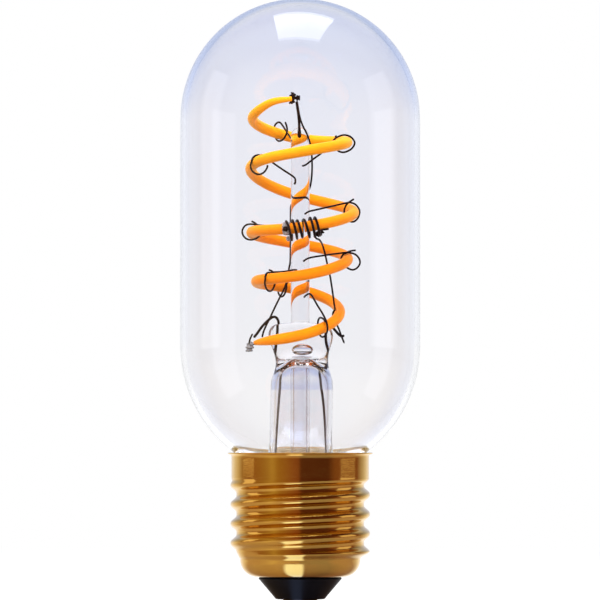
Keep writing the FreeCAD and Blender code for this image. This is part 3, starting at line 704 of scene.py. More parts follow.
@dataclass
class GlassStem:
    """The flared tube pressed flat at its top, the rod that stands on it, and the exhaust tube."""

    tube_radius: float = 5.85
    bore: float = 4.85
    foot: float = 22.0
    foot_radius: float = 10.2
    exhaust_radius: float = 1.8
    exhaust_bore: float = 1.2
    exhaust_top: float = 44.2
    exhaust_bottom: float = 19.6
    rod_radius: float = 1.75
    rod_top: float = 89.4
    bubble: tuple = (1.95, 1.35, 1.2)
    bubble_place: tuple = (0.4, -0.1, 47.5)
    mouth: tuple = (1.8, 1.4, 0.2)
    mouth_place: tuple = (0.35, -0.1, 46.0)
    columns: int = 96

    def hollow_rows(self) -> np.ndarray:
        """Return the rows of the hollow, from the wedge under the press down to the flare's foot.

        Returns:
            Rows of half width, half depth, squareness, height and shift to the right.
        """
        bore = self.bore
        wedge = smooth_curve([
            (1.2, 0.05, 2.6, 45.6, 0.3), (1.7, 0.7, 2.6, 45.4, 0.3), (2.6, 1.7, 2.4, 44.8, 0.3),
            (3.5, 2.9, 2.2, 43.9, 0.3), (4.2, 3.9, 2.1, 42.8, 0.3), (4.65, 4.55, 2, 41.6, 0.3),
            (bore, bore, 2, 40.2, 0.3),
        ], 6)
        flare = smooth_curve([
            (bore, bore, 2, self.foot + 9, 0.1), (bore * 1.12, bore * 1.12, 2, self.foot + 4.6, 0.03),
            (bore * 1.5, bore * 1.5, 2, self.foot + 1.7, 0),
            (self.foot_radius - 0.9, self.foot_radius - 0.9, 2, self.foot, 0),
        ], 6)
        return np.vstack([wedge, flare])

    def outer_rows(self) -> np.ndarray:
        """Return the rows of the outside, from the flare's foot up to the rod's round top.

        Returns:
            Rows of half width, half depth, squareness, height and shift to the right.
        """
        tube, rod = self.tube_radius, self.rod_radius
        flare = smooth_curve([
            (self.foot_radius, self.foot_radius, 2, self.foot, 0), (8.2, 8.2, 2, self.foot + 1.9, 0),
            (6.5, 6.5, 2, self.foot + 4.7, 0.03), (tube, tube, 2, self.foot + 8.4, 0.1),
        ], 6)
        press = smooth_curve([
            (tube, tube, 2, 40.4, 0.3), (5.75, 5.7, 2, 41.8, 0.3), (5.4, 5.0, 2.1, 43.1, 0.33),
            (5.0, 3.9, 2.3, 44.5, 0.35), (4.95, 3.0, 2.3, 45.9, 0.3), (5.25, 2.5, 2.2, 47.4, 0.2),
            (5.8, 2.3, 2.1, 49.0, 0.15), (6.05, 2.3, 2.0, 50.3, 0.1), (5.8, 2.25, 2.0, 51.4, 0.05),
            (5.2, 2.15, 2.0, 52.1, 0), (4.2, 2.05, 2.0, 52.5, 0), (2.7, 1.9, 2.0, 52.66, 0),
            (1.85, 1.8, 2, 52.74, 0), (rod, rod, 2, 53.1, 0),
        ], 6)
        turn = np.radians(np.linspace(0, 88, 14))
        top = np.column_stack([rod * np.cos(turn), rod * np.cos(turn), np.full(14, 2.0),
                               self.rod_top - rod + rod * np.sin(turn), np.zeros(14)])
        return np.vstack([flare, press, top])

    def body_grid(self) -> np.ndarray:
        """Return the flared tube, its press and the rod as one closed grid, from the hollow outwards.

        Formula: each row is a rounded outline with a half width, a half depth and a squareness. A
        point's reach is one over the sum of the powers of its cosine and sine, to the inverse power.

        Returns:
            An array of rows by columns by coordinates.
        """
        table = close_rows(np.vstack([self.hollow_rows(), self.outer_rows()]), long=1.5)
        turn = full_turn(self.columns)
        power = table[:, 2:3]
        reach = (np.abs(np.cos(turn)) ** power + np.abs(np.sin(turn)) ** power) ** (-1 / power)
        height = np.broadcast_to(table[:, 3:4], reach.shape)
        across = table[:, 4:5] + table[:, 0:1] * reach * np.cos(turn)
        return np.stack([across, table[:, 1:2] * reach * np.sin(turn), height], -1)

    def hollow_grid(self, size: tuple, place: tuple) -> np.ndarray:
        """Return a small closed hollow in the press, its faces turned inwards.

        Formula: a ball stretched along the three axes, its rows run from the top to the bottom.

        Args:
            size: the three half-axes.
            place: the middle.

        Returns:
            An array of rows by columns by coordinates.
        """
        turn = np.radians(np.linspace(88, -88, 24))
        profile = np.column_stack([np.cos(turn), np.sin(turn)])
        return lathe_grid(profile, 40) * size + place

    def build(self, glass: bpy.types.Material) -> list:
        """Make the stem with its rod and the exhaust tube and dress them.

        Args:
            glass: the glass material.

        Returns:
            The new pieces.
        """
        stem = add_mesh("stem_and_rod_glass", [
            self.body_grid(), self.hollow_grid(self.bubble, self.bubble_place),
            self.hollow_grid(self.mouth, self.mouth_place),
        ])
        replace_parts(stem, "stem_flare", "glass_rod")
        tip = self.exhaust_bottom + self.exhaust_radius
        exhaust = add_mesh("exhaust_glass", [lathe_grid(np.vstack([
            arc((0.0, tip + 0.6), self.exhaust_bore, -88, 0, 10),
            [[self.exhaust_bore, self.exhaust_top], [self.exhaust_radius, self.exhaust_top]],
            arc((0.0, tip), self.exhaust_radius, 0, -88, 10),
        ])[::-1], 48)])
        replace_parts(exhaust, "exhaust_tube")
        for piece in (stem, exhaust):
            dress(piece, glass)
        return [stem, exhaust]


@dataclass
class SoftFilaments:
    """Two soft filaments end to end in one open spiral, with their metal ends and their joint."""

    thickness: float = 2.05
    first: float = 0.18
    joint: float = 7.96
    last: float = 16.73
    gap: float = 0.01
    top_taper: float = 1.3
    low_taper: float = 0.55
    top_rise: float = 0.75
    rise_station: float = 0.5
    rise_span: float = 0.28
    swell: float = 0.012
    end_thickness: tuple = (0.42, 0.58)
    coil_radius: float = 1.72
    coil_drop: float = 0.28
    coil_pitch: float = 1.1
    coil_turns: float = 5.6
    clip_offset: float = 0.2
    stations: list = field(default_factory=lambda: [
        (5.0, 66.4), (8.9, 63.0), (9.0, 59.4), (8.8, 58.2), (9.0, 55.9), (9.3, 53.2), (9.6, 48.5),
        (10.0, 45.0), (9.6, 41.8), (9.1, 41.2), (9.0, 39.4), (8.9, 36.3), (8.8, 32.9), (8.2, 32.0),
        (8.0, 30.7), (7.4, 26.4), (8.4, 21.8), (9.5, 20.1),
    ])

    def axis(self, station: np.ndarray) -> np.ndarray:
        """Return points of the spiral.

        Formula: radius and height are smooth curves through the stations, a quarter turn each, and
        the angle runs clockwise seen from above, from the front at station 0. A bell curve near
        the first station lifts the top end, so that it leaves its metal end almost level.

        Args:
            station: station numbers, whole or not.

        Returns:
            Rows of coordinates.
        """
        steps = 64
        table = smooth_curve(self.stations, steps)
        index = np.arange(len(table)) / steps
        radius = np.interp(station, index, table[:, 0])
        height = RIM + np.interp(station, index, table[:, 1])
        place = np.asarray(station, dtype=float)
        height = height + self.top_rise * np.exp(-((place - self.rise_station) / self.rise_span) ** 2)
        turn = np.radians(270 - 90 * place)
        return np.column_stack([radius * np.cos(turn), radius * np.sin(turn), height])

    def directions(self, station: float) -> tuple:
        """Return a point of the spiral and the three directions there.

        Formula: the way along is the step between two points close to the station, outwards is level
        and away from the axis, and upwards is across both.

        Args:
            station: the point's station.

        Returns:
            The point, and the directions along, outwards and upwards, each of length one.
        """
        middle = self.axis(np.array([station]))[0]
        near = self.axis(np.array([station - STATION_STEP, station + STATION_STEP]))
        along = near[0] - near[1]
        along /= np.linalg.norm(along)
        outward = middle * (1, 1, 0) / np.linalg.norm(middle[:2])
        return middle, along, outward, -np.cross(along, outward)

    def filament(self, name: str, start: float, end: float) -> bpy.types.Object:
        """Make one filament between two stations.

        Formula: a round tube along the spiral whose radius swells and thins by about one part in
        fifty, as a soft cord does, and narrows to less than half at the spiral's two ends, slowly at
        the top one.

        Args:
            name: the piece's name.
            start: first station.
            end: last station.

        Returns:
            The new piece.
        """
        station = np.linspace(start, end, 520)
        waves = np.sin(7.3 * station) * np.cos(2.9 * station)
        radius = self.thickness / 2 * (1 + self.swell * waves - self.swell)
        near_end = np.clip(np.minimum((station - self.first) / self.top_taper,
                                      (self.last - station) / self.low_taper), 0, 1)
        thin, gain = self.end_thickness
        radius *= thin + gain * near_end * (2 - near_end)
        return add_mesh(name, [tube_grid(self.axis(station), radius, 32)])

    def coil_path(self) -> np.ndarray:
        """Return the path of the wire wound over the joint.

        Formula: a point goes evenly along the filament's direction at the joint while it turns at
        one radius round it, with a slow change of radius and pitch so that no two turns are equal.

        Returns:
            Rows of coordinates.
        """
        count = 240
        turn = np.linspace(0, self.coil_turns, count)
        middle, along, outward, upward = self.directions(self.joint)
        half = self.coil_turns * self.coil_pitch / 2
        sag = half ** 2 / (4 * np.linalg.norm(middle[:2]))
        forward = turn * self.coil_pitch - half + 0.12 * np.sin(turn * 2.1)
        radius = self.coil_radius + 0.1 * np.sin(turn * 1.7 + 0.6)
        angle = 2 * math.pi * turn
        side = outward * (radius * np.sin(angle))[:, None] + upward * (radius * np.cos(angle))[:, None]
        return middle - outward * sag - upward * self.coil_drop + along * forward[:, None] + side

    def build(self, soft: bpy.types.Material, bright: bpy.types.Material,
              dark: bpy.types.Material) -> list:
        """Make the filaments, the joint coil and the metal ends and dress them.

        Args:
            soft: material of the filaments.
            bright: material of the metal ends and the clip.
            dark: material of the coil and the other dark wires.

        Returns:
            The new pieces.
        """
        upper = self.filament("filament_upper_half", self.first, self.joint - self.gap)
        lower = self.filament("filament_lower_half", self.joint + self.gap, self.last)
        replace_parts(upper, "upper_filament")
        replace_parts(lower, "lower_filament")
        for piece in (upper, lower):
            dress(piece, soft)
        path = self.coil_path()
        coil = add_mesh("joint_winding", [tube_grid(path, rounded_radius(path, 0.24), 12)])
        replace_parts(coil, "joint_coil")
        dress(coil, dark)
        return [upper, lower, coil] + self.metal_ends(bright, dark)

    def wound(self, middle: tuple, rise: tuple, radius: float, wire: float, turns: float) -> list:
        """Return a short winding with a core.

        Formula: the winding's path climbs along the rise while it turns round it, and its radius
        swells in the middle. The core is a thin spindle along the same line.

        Args:
            middle: the winding's middle.
            rise: the vector from its lower end to its upper end.
            radius: the winding's radius.
            wire: the wire's radius.
            turns: number of turns.

        Returns:
            Two grids.
        """
        climb = np.asarray(rise, dtype=float)
        first = np.cross(climb, (0.3, 1.0, 0.1))
        first /= np.linalg.norm(first)
        second = np.cross(climb / np.linalg.norm(climb), first)
        share = np.linspace(0, 1, int(turns * 22))
        angle = 2 * math.pi * turns * share
        reach = radius * (0.75 + 0.35 * np.sin(math.pi * share))
        path = (np.asarray(middle) + climb * (share - 0.5)[:, None]
                + first * (reach * np.cos(angle))[:, None] + second * (reach * np.sin(angle))[:, None])
        line = np.asarray(middle) + climb * np.linspace(-0.55, 0.55, 14)[:, None]
        thick = radius * np.sqrt(np.clip(1 - np.linspace(-0.98, 0.98, 14) ** 2, 0.05, 1))
        return [tube_grid(path, rounded_radius(path, wire), 10), tube_grid(line, thick, 12)]

    def metal_ends(self, bright: bpy.types.Material, dark: bpy.types.Material) -> list:
        """Make the spiral's metal ends, the joint's clip and its twisted tail and dress them.

        Args:
            bright: material of the tinned parts.
            dark: material of the dark wires.

        Returns:
            The new pieces.
        """
        knot = self.wound((-1.45, -4.85, 94.55), (0.3, 0.0, 2.0), 0.46, 0.19, 3.0)
        knot += self.wound((-0.45, -4.75, 94.6), (0.8, 0.1, 0.2), 0.36, 0.17, 2.0)
        top = add_mesh("top_end_knot", knot)
        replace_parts(top, "top_end_tab")
        dress(top, dark)
        low = add_mesh("bottom_end_winding",
                       self.wound((-9.35, -4.0, 48.15), (0.5, 0.2, 1.75), 0.52, 0.24, 3.0))
        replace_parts(low, "bottom_end_tab")
        dress(low, bright)
        stub_path = smooth_curve([(-9.5, -4.6, 48.6), (-9.35, -4.6, 49.5), (-8.85, -4.3, 50.6)], 8)
        stub = add_mesh("bottom_end_stub", [tube_grid(stub_path, rounded_radius(stub_path, 0.17), 10)])
        dress(stub, dark)
        band, pad, foot = self.clip_grids()
        clip = add_mesh("joint_clip_band", [band, foot])
        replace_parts(clip, "joint_clip")
        dress(clip, bright)
        block = add_mesh("joint_clip_pad", [pad])
        dress(block, dark)
        tail = add_mesh("joint_tail", self.wound((3.6, -8.7, 69.1), (1.2, 0.2, 0.8), 0.36, 0.16, 2.5))
        dress(tail, dark)
        return [top, low, stub, clip, block, tail]

    def clip_grids(self) -> tuple:
        """Return the clip beside the joint: its strip round the filament, its pad and its foot.

        Formula: the strip is a tube bent once round the filament, flattened to a third of its width,
        and the pad and the foot are short rounded bars that lie in front of the filament and below it.

        Returns:
            Three grids.
        """
        middle, along, outward, upward = self.directions(self.joint + self.clip_offset)
        reach = self.thickness / 2 + 0.14
        angle = np.radians(np.linspace(-70, 250, 60))
        side = outward * (reach * np.cos(angle))[:, None]
        ring = middle + side + upward * (reach * np.sin(angle))[:, None]
        bent = tube_grid(ring, np.full(len(ring), 0.12), 16)
        offset = bent - ring[:, None, :]
        band = bent + along * ((offset @ along) * 5.0)[..., None]
        front = middle + outward * (reach + 0.1)
        bars = []
        pad = (front - along * 0.55, front + along * 0.45 - upward * 0.2, 0.5)
        foot = (middle - upward * 1.45 - along * 0.1, middle - upward * 2.3 + along * 0.25, 0.42)
        for start, end, thick in (pad, foot):
            line = start + (end - start) * np.linspace(0, 1, 14)[:, None]
            thickness = thick * np.sqrt(np.clip(1 - np.linspace(-0.97, 0.97, 14) ** 4, 0.1, 1))
            bars.append(tube_grid(line, thickness, 16))
        return band, bars[0], bars[1]


# Points that the thin wires pass through, in millimetres
WIRE_ROUTES = {
    "left_lead_wire": (
        (-5, 1.77, 17.05), (-5, 1.77, 19), (-4.7, 0.6, 22.5), (-4.7, 0, 28.7), (-4.3, 0, 34.9),
        (-3.75, 0, 41.9), (-3.9, 0, 43.8), (-4.25, 0, 45.3), (-4.3, 0, 48.1), (-4.1, 0, 50.7),
        (-4.05, -0.1, 52.7), (-4.4, -0.5, 53.6), (-5, -0.9, 53.8), (-5.7, -1.3, 53.4), (-7, -2.4, 52.1),
        (-8, -3, 50.7), (-8.7, -3.3, 49.8),
    ),
    "right_lead_wire": (
        (5, 1.77, 17.05), (5, 1.77, 19), (4.9, 0.6, 22.5), (4.95, 0, 28.7), (4.5, 0, 36.4),
        (3.8, 0, 41.9), (3.8, 0, 43.5), (4.2, 0, 44.4), (4.7, 0, 45.3), (4.95, 0, 47), (4.6, 0, 49.3),
        (4.65, 0, 51.3), (4.9, -0.1, 52.3), (5.4, -0.2, 52.5), (6.2, -0.3, 51.7), (7.5, -0.5, 50.3),
        (8.3, -0.7, 50.3),
    ),
    "return_wire": (
        (-0.6, -4.2, 94.12), (-0.37, -3.6, 92.76), (-0.07, -3, 91.12), (0.43, -2.4, 89.66),
        (1.18, -2, 88.19), (1.74, -1.6, 86.72), (2.06, -0.9, 85.26), (2.21, -0.2, 83.24),
        (2.21, 0.1, 81.01), (2.03, 0.5, 79.15), (1.65, 1.3, 77.78), (0.81, 2.1, 76.88),
        (-0.13, 2.35, 76.15), (-1.07, 1.95, 75.56), (-1.67, 1.2, 74.87), (-1.8, 0.9, 73.54),
        (-1.8, 0.9, 69.22), (-1.84, 0.9, 65.47), (-1.88, 1, 64.16), (-2.1, 0.9, 62.94),
        (-2.36, 0.7, 61.52), (-2.66, 0.5, 60.02), (-3.19, 0.3, 58.7), (-4.07, -0.2, 56.99),
        (-5.06, -0.9, 54.91), (-5.65, -1.4, 53.59), (-6.31, -1.9, 52.27), (-6.87, -2.2, 50.95),
        (-7.11, -2.4, 49.92),
    ),
    "top_support_wire": (
        (-0.67, -4.4, 94.01), (-0.56, -4, 93.11), (-0.37, -3.2, 91.85), (-0.22, -2.2, 90.42),
        (-0.17, -1, 89.28), (-0.13, -0.3, 88.48), (-0.11, -0.1, 87.37),
    ),
    "support_wire_1": (
        (-0.98, 0.2, 86.82), (-1.65, 1.6, 87.36), (-2.54, 5, 88.83), (-3.36, 6.4, 90.18),
        (-3.87, 6.8, 90.75), (-4.38, 7.2, 90.72), (-4.84, 7.9, 90.2), (-4.96, 8.9, 89.33),
        (-4.77, 9.2, 88.21), (-4.35, 8.4, 87.45), (-3.89, 7.4, 87.26), (-3.32, 6.6, 87.47),
        (-2.83, 6.3, 88.08), (-2.49, 6.2, 88.96), (-2.53, 6.4, 89.84), (-2.85, 6.6, 90.89),
    ),
    "support_wire_2": (
        (0.24, -0.2, 82.08), (1.11, -1, 82.39), (1.91, -1.5, 82.94), (2.71, -1.7, 83.53),
        (3.87, -1.8, 84.38), (5.2, -1.5, 85.6), (6.07, -1, 86.64), (6.56, -0.9, 87.25),
        (7.42, -0.8, 87.72), (8.39, -0.8, 87.91), (9.52, -0.8, 87.51), (10.21, -0.9, 86.48),
        (9.74, -1, 85.44), (8.84, -1.1, 84.84), (7.96, -1.2, 84.64), (7.08, -1.2, 84.94),
        (6.45, -0.6, 85.75), (6.45, -0.4, 86.88), (6.78, -0.5, 87.91),
    ),
    "support_wire_3": (
        (-0.86, -0.4, 78.62), (-0.79, -0.9, 79.27), (-1.22, -1.7, 79.99), (-3.1, -2.8, 81.2),
        (-4.99, -3.7, 82.46), (-6.2, -4.1, 83.47), (-7.02, -4.5, 83.95), (-8.13, -4.9, 83.63),
        (-8.91, -5.1, 82.91), (-9.23, -5.2, 81.88), (-8.93, -5.3, 80.96), (-8.2, -5.4, 80.39),
        (-7.44, -5.6, 80.29), (-6.71, -5.9, 80.66), (-6.2, -6.2, 81.36), (-6.03, -6.4, 82),
    ),
    "support_wire_4": (
        (0.64, -0.8, 73.03), (1.55, -1.2, 73.5), (2.28, -1.1, 73.71), (4.76, -0.7, 74.29),
        (7.09, -0.2, 74.84), (8.36, 0.1, 75.15), (9.44, 0.4, 75.28), (10.36, 0.6, 74.95),
        (10.94, 0.7, 74.25), (11.13, 0.8, 73.31), (10.85, 0.9, 72.42), (10.1, 1, 71.74),
        (9.16, 1.2, 71.87), (8.52, 1.3, 72.62), (8.28, 1.1, 73.68), (8.43, 0.9, 74.42),
        (8.86, 0.75, 75.11), (9.53, 0.6, 75.61), (10.13, 0.5, 75.98),
    ),
    "support_wire_5": (
        (-1.07, 0.2, 70.58), (-2.1, 0.3, 70.64), (-3.84, -0.2, 70.72), (-5.45, -0.3, 70.84),
        (-7.63, -0.4, 71.01), (-9.41, -0.4, 71.21), (-10.35, -0.4, 70.88), (-10.85, -0.4, 70),
        (-10.68, -0.3, 69.08), (-10.01, -0.2, 68.43), (-9.09, -0.1, 68.28), (-8.16, 0.2, 68.58),
        (-7.54, 0.6, 69.31), (-7.43, 0.6, 70.23), (-7.8, 0.3, 70.85), (-8.55, 0.2, 71.48),
        (-9.17, 0.2, 71.8),
    ),
    "support_wire_6": (
        (0.45, -0.8, 64.17), (1.1, -1.3, 64.58), (2.13, -1.5, 64.93), (4.61, -1.4, 65.33),
        (6.89, -1.3, 65.65), (8.26, -1.2, 65.82), (9.31, -1.1, 65.81), (10.32, -1.1, 65.49),
        (11.03, -1.1, 64.72), (11.18, -1, 63.81), (10.64, -0.9, 62.97), (9.85, -0.8, 62.63),
        (9.07, -0.5, 62.87), (8.36, -0.1, 63.45), (7.99, 0, 64.28), (8.04, -0.2, 65.04),
        (8.41, -0.5, 65.59), (9.03, -0.7, 66.01), (9.72, -0.8, 66.21), (10.45, -0.8, 66.29),
    ),
    "support_wire_7": (
        (-0.49, -0.9, 62.54), (-1.22, -1.9, 62.58), (-2.52, -3.2, 62.29), (-3.92, -4.4, 62.1),
        (-4.89, -5.2, 62.04), (-5.55, -5.9, 61.86), (-6.13, -6.7, 61.43), (-6.49, -7.4, 60.55),
        (-6.51, -7.5, 59.61), (-6.2, -7.2, 58.79), (-5.7, -6.6, 58.45), (-5.22, -5.7, 58.66),
        (-4.85, -4.9, 59.4), (-4.59, -4.5, 60.6), (-4.74, -4.8, 61.6), (-5.22, -5.4, 62.18),
        (-5.85, -6, 62.46),
    ),
    "support_wire_8": (
        (-0.69, 0.6, 60.68), (-1.35, 2, 60.63), (-2.07, 4.6, 60.71), (-2.51, 5.8, 60.37),
        (-2.62, 6.2, 59.4), (-2.91, 6.5, 58.39), (-3.4, 7, 57.84), (-3.88, 7.8, 58.05),
        (-4.18, 8.8, 58.76), (-4.17, 9.3, 59.82), (-3.75, 9, 60.66), (-3.16, 8.2, 60.83),
    ),
    "support_wire_9": (
        (0.62, -0.9, 57.44), (1.12, -1.9, 57.84), (1.65, -2.6, 58.07), (2.13, -3.3, 57.78),
        (2.61, -4.1, 56.92), (3.32, -5, 55.66), (3.97, -5.9, 54.6), (4.62, -6.9, 53.34),
        (5.02, -8.2, 52.03), (4.98, -8.6, 50.9), (4.54, -8.3, 50.07), (4.02, -7.3, 49.91),
        (3.58, -6.2, 50.49), (3.36, -5.5, 51.62), (3.3, -5.6, 52.83), (3.65, -6.2, 53.49),
        (4.24, -7.2, 53.3), (4.72, -8, 52.61),
    ),
    "centre_feed_wire": (
        (5.17, -8.6, 70.36), (4.33, -9.3, 69.86), (3.4, -10, 69.46), (2.78, -10.2, 68.9),
        (2.93, -9.8, 68.19), (3.64, -8.8, 67.82), (4.32, -6.4, 66.5), (5, -4.8, 63.77),
        (5.56, -4, 61.37), (6.09, -3, 58.04), (6.44, -2, 55.63), (6.63, -1.3, 53.97), (6.86, -1, 52.48),
        (7.31, -0.9, 51.35), (7.64, -0.9, 50.42), (8.28, -1, 48.81),
    ),
}


@dataclass
class Wires:
    """The leads through the press, the feed wires and the nine support hooks."""

    lead_radius: float = 0.25
    thick: tuple = ("left_lead_wire", "right_lead_wire", "top_support_wire")
    wire_radius: float = 0.18
    strand_radius: float = 1.03
    sides: int = 10
    routes: dict = field(default_factory=lambda: WIRE_ROUTES)

    def wire(self, node: str, axis: np.ndarray) -> bpy.types.Object:
        """Make one wire that stands for its CAD node.

        Formula: a round tube with rounded ends along the smooth curve through the route's points,
        kept clear of the filament.

        Args:
            node: the CAD node's name.
            axis: points of the filament's axis.

        Returns:
            The new piece.
        """
        radius = self.lead_radius if node in self.thick else self.wire_radius
        path = kept_clear(smooth_curve(self.routes[node], 7), axis, self.strand_radius + radius)
        piece = add_mesh(node.replace("_wire", "") + "_drawn", [
            tube_grid(path, rounded_radius(path, radius), self.sides)])
        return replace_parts(piece, node)

    def build(self, dark: bpy.types.Material, axis: np.ndarray) -> list:
        """Make the wires and dress them.

        Args:
            dark: material of the wires.
            axis: points of the filament's axis.

        Returns:
            The new pieces.
        """
        pieces = [self.wire(node, axis) for node in self.routes]
        for piece in pieces:
            dress(piece, dark)
        return pieces


@dataclass
class ScrewCap:
    """The rolled brass shell, the black insulator, the centre contact and what they hold."""

    crest: float = 13.08
    root: float = 11.95
    pitch: float = 3.629
    phase: float = 9.66
    narrowing: float = 0.05
    fullness: float = 0.07
    skirt: float = 12.9
    lip: float = 13.6
    wall: float = 0.3
    thread_top: float = 23.75
    thread_foot: float = 8.4
    run_in: float = 1.5
    run_out: float = 1.6
    bottom: float = 5.15
    corner: float = 3.25
    hole: float = 8.0
    columns: int = 224

    def side_rows(self, inset: float) -> np.ndarray:
        """Return the shell's side from the lip to the hole as rows of radius, height and thread share.

        Formula: the skirt's radius eases into the thread's middle radius and then into the bottom
        corner's, and the thread's share eases from 0 to 1 and back in the same places.

        Args:
            inset: how far this face lies inside the outer face.

        Returns:
            Rows of radius, height and thread share.
        """
        height = np.linspace(self.thread_top, self.thread_foot, 110)
        run_in = np.clip((self.thread_top - height) / self.run_in, 0, 1)
        run_out = np.clip((height - self.thread_foot) / self.run_out, 0, 1)
        run_in, run_out = [share * share * (3 - 2 * share) for share in (run_in, run_out)]
        mean = (self.crest + self.root) / 2
        radius = self.skirt + (mean - self.skirt) * run_in
        radius = radius + (self.hole + self.corner - mean) * (1 - run_out)
        thread = np.column_stack([radius - inset, height, run_in * run_out])
        skirt_height = np.linspace(RIM - 0.75, self.thread_top + 0.1, 12)
        skirt = np.column_stack([np.full(12, self.skirt - inset), skirt_height, np.zeros(12)])
        turn = np.radians(np.linspace(-3, -90, 18))
        bend = self.corner - inset
        corner = np.column_stack([self.hole + bend * np.cos(turn),
                                  self.thread_foot + bend * np.sin(turn), np.zeros(18)])
        return np.vstack([skirt, thread, corner])

    def shell_grid(self) -> np.ndarray:
        """Return the shell's two faces as one ring of rows.

        Formula: a row's radius is moved in and out by a wave that climbs one pitch a turn, times half
        the thread's depth and the row's share of thread. The wave is a cosine less a share of the
        cosine of three times its angle, which makes its flanks steeper and its crests round, and it
        is scaled back to one. A share of the cosine of twice its angle makes the crests narrower
        than the valleys.

        Returns:
            An array of rows by columns by coordinates.
        """
        edge = np.array([
            (self.skirt - self.wall, RIM - 0.45, 0), (self.skirt, RIM - 0.18, 0),
            (self.lip - 0.25, RIM - 0.02, 0), (self.lip - 0.07, RIM, 0), (self.lip, RIM - 0.1, 0),
            (self.lip - 0.05, RIM - 0.24, 0), (self.skirt + 0.28, RIM - 0.36, 0),
            (self.skirt + 0.06, RIM - 0.5, 0),
        ])
        hem = np.array([(self.hole, self.bottom + 0.15, 0)])
        rows = np.vstack([edge, self.side_rows(0.0), hem, self.side_rows(self.wall)[::-1]])
        turn = full_turn(self.columns)
        angle = 2 * math.pi * (rows[:, 1:2] - self.phase) / self.pitch - turn
        wave = (np.cos(angle) - self.fullness * np.cos(3 * angle)) / (1 - self.fullness)
        wave = wave + self.narrowing * (np.cos(2 * angle) - 1)
        reach = rows[:, 0:1] + (self.crest - self.root) / 2 * rows[:, 2:3] * wave
        height = np.broadcast_to(rows[:, 1:2], reach.shape)
        return np.stack([reach * np.cos(turn), reach * np.sin(turn), height], -1)[::-1]

    def insulator_grid(self) -> np.ndarray:
        """Return the black cone with its rounded tip and collar.

        Formula: a profile of lines and arcs carried once round the axis.

        Returns:
            An array of rows by columns by coordinates.
        """
        profile = np.vstack([
            [[1.3, 1.0], [2.6, 1.0], [3.9, 1.0]], arc((4.35, 1.5), 0.5, -90, -42, 8),
            np.column_stack([np.linspace(4.9, 7.7, 12), np.linspace(1.42, 4.72, 12)]),
            arc((7.62, 4.86), 0.16, -42, 60, 8),
            [[7.6, 5.0], [7.55, 5.5], [7.55, 8.2], [1.3, 8.2]],
        ])
        return lathe_grid(profile, 128)

    def contact_grid(self) -> np.ndarray:
        """Return the centre contact: a low disc with a rounded edge and its hollow eyelet."""
        profile = np.vstack([
            [[0.1, 0.0], [2.3, 0.0]], arc((2.7, 0.5), 0.5, -90, 0, 9),
            [[3.2, 0.95], [3.14, 1.0], [1.2, 1.0], [1.2, 6.5], [0.85, 6.5], [0.85, 0.6], [0.1, 0.6]],
        ])
        return lathe_grid(profile, 96)

    def cement_grid(self) -> np.ndarray:
        """Return the ring of cement between the bulb's neck and the shell.

        Formula: a profile carried once round the axis, whose top follows the neck's fillet up to the
        lip and whose rim dips a little, as cement does when it sets.

        Returns:
            An array of rows by columns by coordinates.
        """
        outer = self.skirt - self.wall - 0.02
        profile = np.array([
            (11.33, RIM - 4.3), (11.33, RIM - 1.5), (11.38, RIM - 1.1), (11.52, RIM - 0.77),
            (11.8, RIM - 0.5), (12.15, RIM - 0.33), (12.4, RIM - 0.36), (outer, RIM - 0.52),
            (outer, RIM - 4.3),
        ])
        return lathe_grid(profile[::-1], 128)

    def build(self, brass: bpy.types.Material, black: bpy.types.Material, cement: bpy.types.Material,
              bright: bpy.types.Material) -> list:
        """Make the cap's pieces and dress them.

        Args:
            brass: material of the shell and the contact.
            black: material of the insulator.
            cement: material of the ring that holds the neck.
            bright: material of the solder.

        Returns:
            The new pieces.
        """
        shell = add_mesh("brass_shell", [self.shell_grid()], Ends.OPEN, loop=True)
        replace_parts(shell, "screw_shell")
        dress(shell, brass)
        cone = add_mesh("black_cone", [self.insulator_grid()], Ends.OPEN, loop=True)
        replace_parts(cone, "cap_insulator")
        dress(cone, black)
        contact = add_mesh("contact_disc", [self.contact_grid()])
        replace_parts(contact, "centre_contact")
        dress(contact, brass)
        ring = add_mesh("cement_ring", [self.cement_grid()], Ends.OPEN, loop=True)
        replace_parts(ring, "cap_cement")
        dress(ring, cement)
        dress_node("contact_solder", bright)
        return [shell, cone, contact, ring]


@dataclass
class Driver:
    """The small parts inside the cap, which keep their CAD shapes."""

    finishes: dict = field(default_factory=lambda: {
        "driver_board": "board", "bridge_rectifier": "moulded", "driver_chip": "moulded",
        "smoothing_capacitor": "can", "fusible_resistor": "lacquer", "shell_wire": "wire",
    })

    def build(self, materials: dict) -> list:
        """Dress the driver's parts.

        Args:
            materials: materials by the names in the finishes.

        Returns:
            The parts' nodes.
        """
        for name, finish in self.finishes.items():
            dress_node(name, materials[finish])
        return [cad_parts[name] for name in self.finishes]


@dataclass
class Softbox:
    """A flat lamp that faces a point, which is the lower middle of the object if none is given."""

    name: str
    place: tuple
    size: tuple
    radiance: float
    mirrored: bool = True
    aim: tuple = (0.0, 0.0, 0.06)

    def build(self) -> bpy.types.Object:
        """Make the lamp.

        Returns:
            The lamp, whose power gives its face the wanted radiance.
        """
        light = bpy.data.lights.new(self.name, "AREA")
        light.shape = "RECTANGLE"
        light.size, light.size_y = self.size
        light.energy = self.radiance * math.pi * self.size[0] * self.size[1]
        lamp = new_object(self.name, light)
        lamp.location = self.place
        lamp.visible_glossy = self.mirrored
        lamp.visible_transmission = self.mirrored
        look_at(lamp, self.aim)
        return lamp


